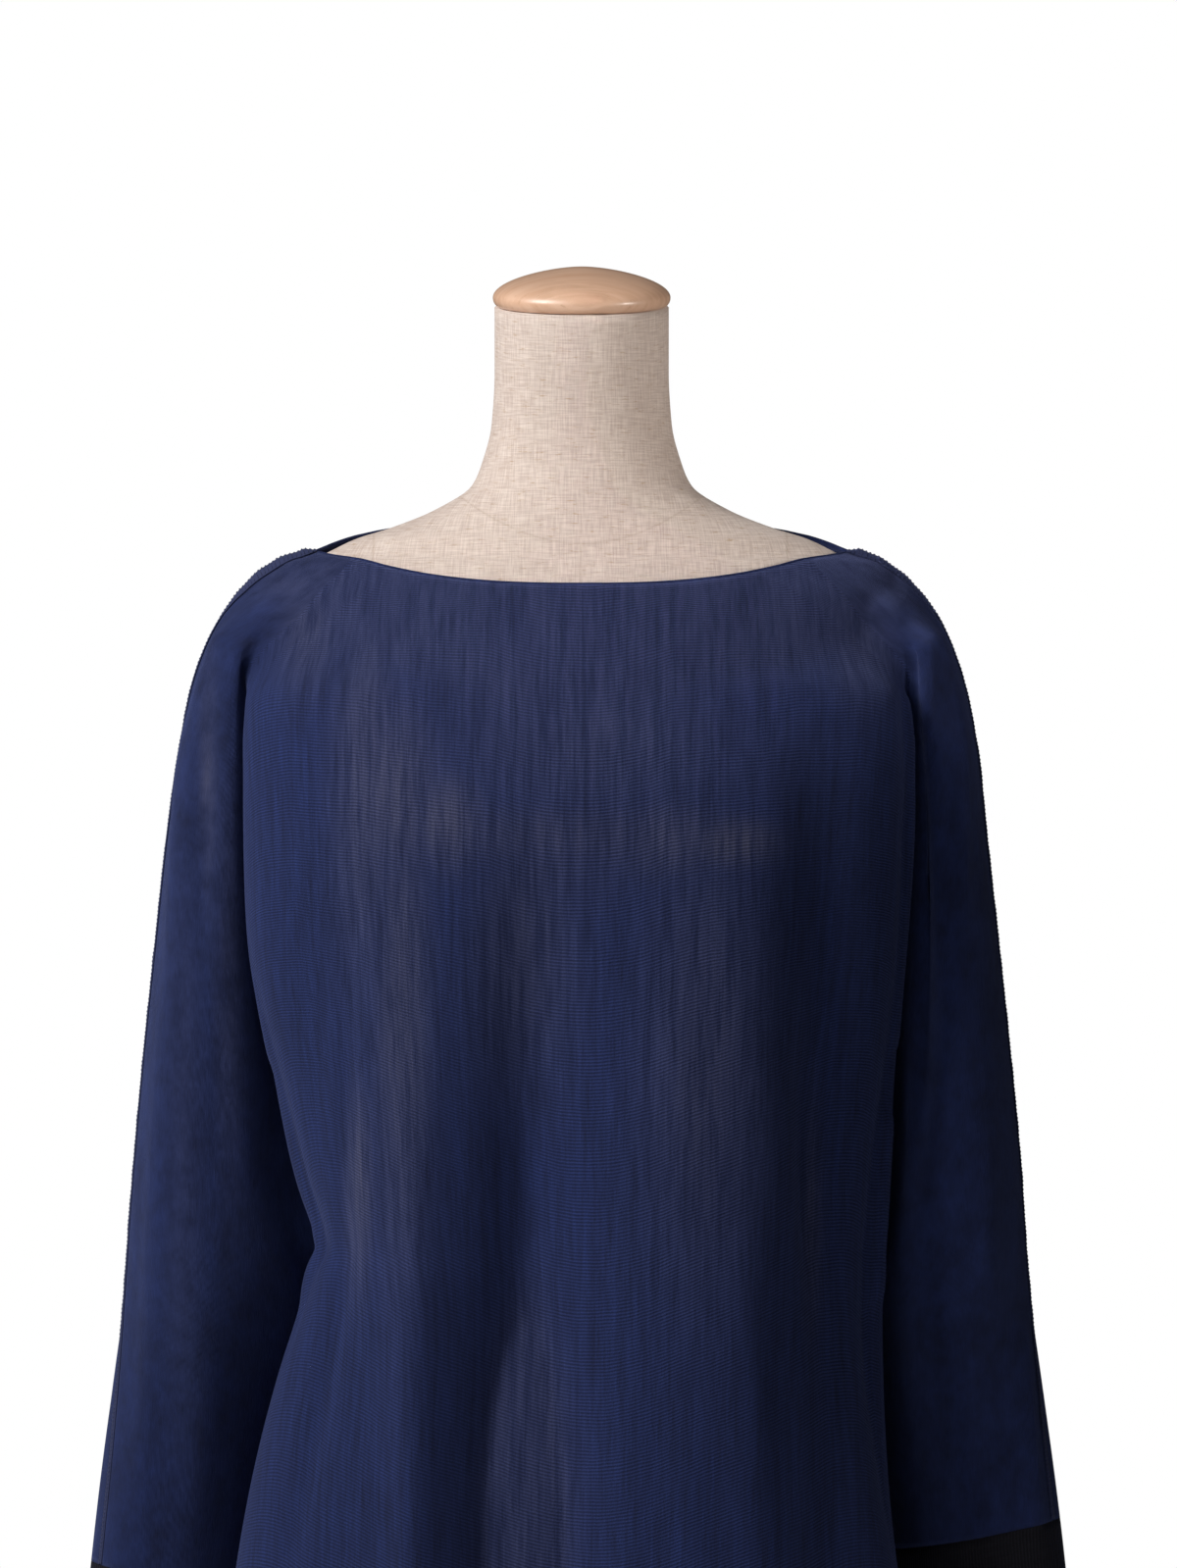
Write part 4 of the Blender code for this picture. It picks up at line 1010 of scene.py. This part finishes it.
ragged = np.random.default_rng(7)
ridges = {}
for side in SIDES:
    front, back = (panel_nets[layer][1][side][: CUFF_ROW + 1] for layer in OUT)
    line = (front[:, 0] + back[:, 0]) / 2
    heading = unit(np.gradient(line, axis=0))
    out = line - (front[:, LOBE_COLUMN] + back[:, LOBE_COLUMN]) / 2
    out = unit(out - heading * (out * heading).sum(axis=1, keepdims=True))
    seam_parts = (line, out, np.cross(heading, out), unit(front[:, 3] - front[:, 0]))
    run = lengths(line, 0)
    fine = np.arange(0.0, run[-1], RIDGE_STEP)
    spots, ways, sideways, forwards = (
        np.stack([np.interp(fine, run, part[:, k]) for k in range(3)], axis=-1) for part in seam_parts
    )
    shoulder_run = run[SHOULDER_ROWS]
    laid = LAID_OVER[side] * ramp(fine, 0.0, 0.010) * ramp(fine, shoulder_run, shoulder_run - 0.020)
    laid = (forwards * laid[:, None])[:, None]
    tall = RIDGE_TOP + (RIDGE_LOW - RIDGE_TOP) * ramp(fine, 0.0, shoulder_run)
    tall *= np.clip(0.25 + fine / 0.010, 0.0, 1.0) * (1.0 + 0.10 * np.sin(fine * 310.0) * np.sin(fine * 97.0 + 1.0))
    lean = 0.0008 * np.sin(fine * 41.0) + 0.0005 * np.sin(fine * 133.0)
    turn = np.linspace(0.0, 2 * np.pi, 13)
    up = (0.5 + 0.5 * np.sin(turn))[None] * tall[:, None]
    wide = np.cos(turn)[None] * RIDGE_WIDTH / 2 + (up / RIDGE_TOP) * lean[:, None]
    net = spots[:, None] + ways[:, None] * (RIDGE_FOOT + up)[..., None] + sideways[:, None] * wide[..., None]
    net += laid * (1.0 - 0.8 * up / tall[:, None])[..., None]
    bm = bmesh.new()
    grid_of(bm, net)
    bend = np.linspace(-0.25 * np.pi, 1.25 * np.pi, 8)
    for along in np.arange(0.0015, run[-1] - 0.002, LOOP_PITCH):
        k = min(len(fine) - 2, int(along / RIDGE_STEP))
        heading = unit(spots[k + 1] - spots[k])
        slant = 0.0006 + 0.0005 * ragged.random()
        loose = (0.53 + 0.06 * ragged.random()) if k * RIDGE_STEP < shoulder_run else 0.50
        loop_up = RIDGE_FOOT + tall[k] * (0.5 + loose * np.sin(bend))
        loop_wide = (RIDGE_WIDTH / 2 + LOOP_RADIUS * 0.7) * np.cos(bend) + lean[k] * loop_up / RIDGE_TOP
        path = (
            spots[k] + ways[k] * loop_up[:, None] + sideways[k] * loop_wide[:, None]
            + heading * slant * np.cos(bend)[:, None] + laid[k] * (1.0 - 0.8 * loop_up / tall[k])[:, None]
        )
        rope(bm, path, LOOP_RADIUS, 5)
    rope(bm, (spots + laid[:, 0] - sideways * 0.0013 + ways * 0.0008)[3:], 0.0005, 6)
    weld(bm, 0.00003)
    ridges[side] = finish("overlocked_seam_" + side, bm, thread)
    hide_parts("shoulder_seam_" + side)


# -------- sweater: trims by panel
# Each panel's trims are gathered: its own rolled edges, and with the front also the joining seams and the overlocked
# ridges.

for layer, panel in panels.items():
    with_trims = [trim for trim in trims if trim.name.startswith(layer)]
    if layer == "front":
        with_trims += [trim for trim in trims if trim.name.startswith("joining")] + list(ridges.values())


# -------- studio
# A pale floor, one large soft light high on the left, a weak fill, a narrow one for the neck, and a white surround.

bm = bmesh.new()
bmesh.ops.create_circle(bm, cap_ends=True, segments=128, radius=3.0)
floor_mesh = bpy.data.meshes.new("studio_floor")
bm.to_mesh(floor_mesh)
bm.free()
floor = placed("studio_floor", floor_mesh)
paper = Surface("matt white paper")
paper.look({"Base Color": "#F2F1EF", "Roughness": 0.9})
floor.data.materials.append(paper.block)


def area_light(name, stand, size, power, colour, aim):
    """A rectangular soft light at its stand, turned to its aim."""
    lamp = bpy.data.lights.new(name, "AREA")
    lamp.shape = "RECTANGLE"
    lamp.size, lamp.size_y = size
    lamp.energy = power
    lamp.color = linear(colour)[:3]
    thing = placed(name, lamp)
    thing.location = stand
    thing.rotation_euler = (Vector(aim) - Vector(stand)).to_track_quat("-Z", "Y").to_euler()
    return lamp


area_light("key_softbox", (-1.38, -1.04, 1.82), (0.8, 1.0), 49.0, "#FFFFFF", (0.0, 0.0, 0.80))
area_light("fill_softbox", (-1.5, -3.4, 1.9), (1.3, 1.3), 15.0, "#FFFFFF", (0.0, 0.0, 0.8))
neck_light = area_light("neck_light", (2.15, -1.20, 1.05), (0.40, 0.40), 0.262, "#FFF8F2", (0.0, 0.0, 0.965))
neck_light.spread = math.radians(7.0)

surround = Surface("white surround", world=True)
bpy.context.scene.world = surround.block
lit = surround.add("Background", {"Color": "#F6F6F8", "Strength": 0.05})
shown = surround.add("Background", {"Color": "#FFFFFF", "Strength": 1.0})
seen = surround.add("LightPath", output="Is Camera Ray")
surround.look({"Surface": surround.add("MixShader", {0: seen, 1: lit, 2: shown})})
bpy.context.scene.view_settings.view_transform = "Standard"

# The camera stands level in front, far off, and takes in 0.672 x 0.895 m at the shoulders.
CAMERA_DISTANCE = 5.0
FRAME_HEIGHT = 0.8954
SENSOR = 36.0  # mm
lens = bpy.data.cameras.new("photo_camera")
lens.sensor_width = SENSOR
lens.lens = SENSOR * CAMERA_DISTANCE / FRAME_HEIGHT
camera = placed("photo_camera", lens)
camera.location = (0.0039, -CAMERA_DISTANCE, 0.7245)
camera.rotation_euler = (math.pi / 2, 0.0, 0.0)
bpy.context.scene.camera = camera
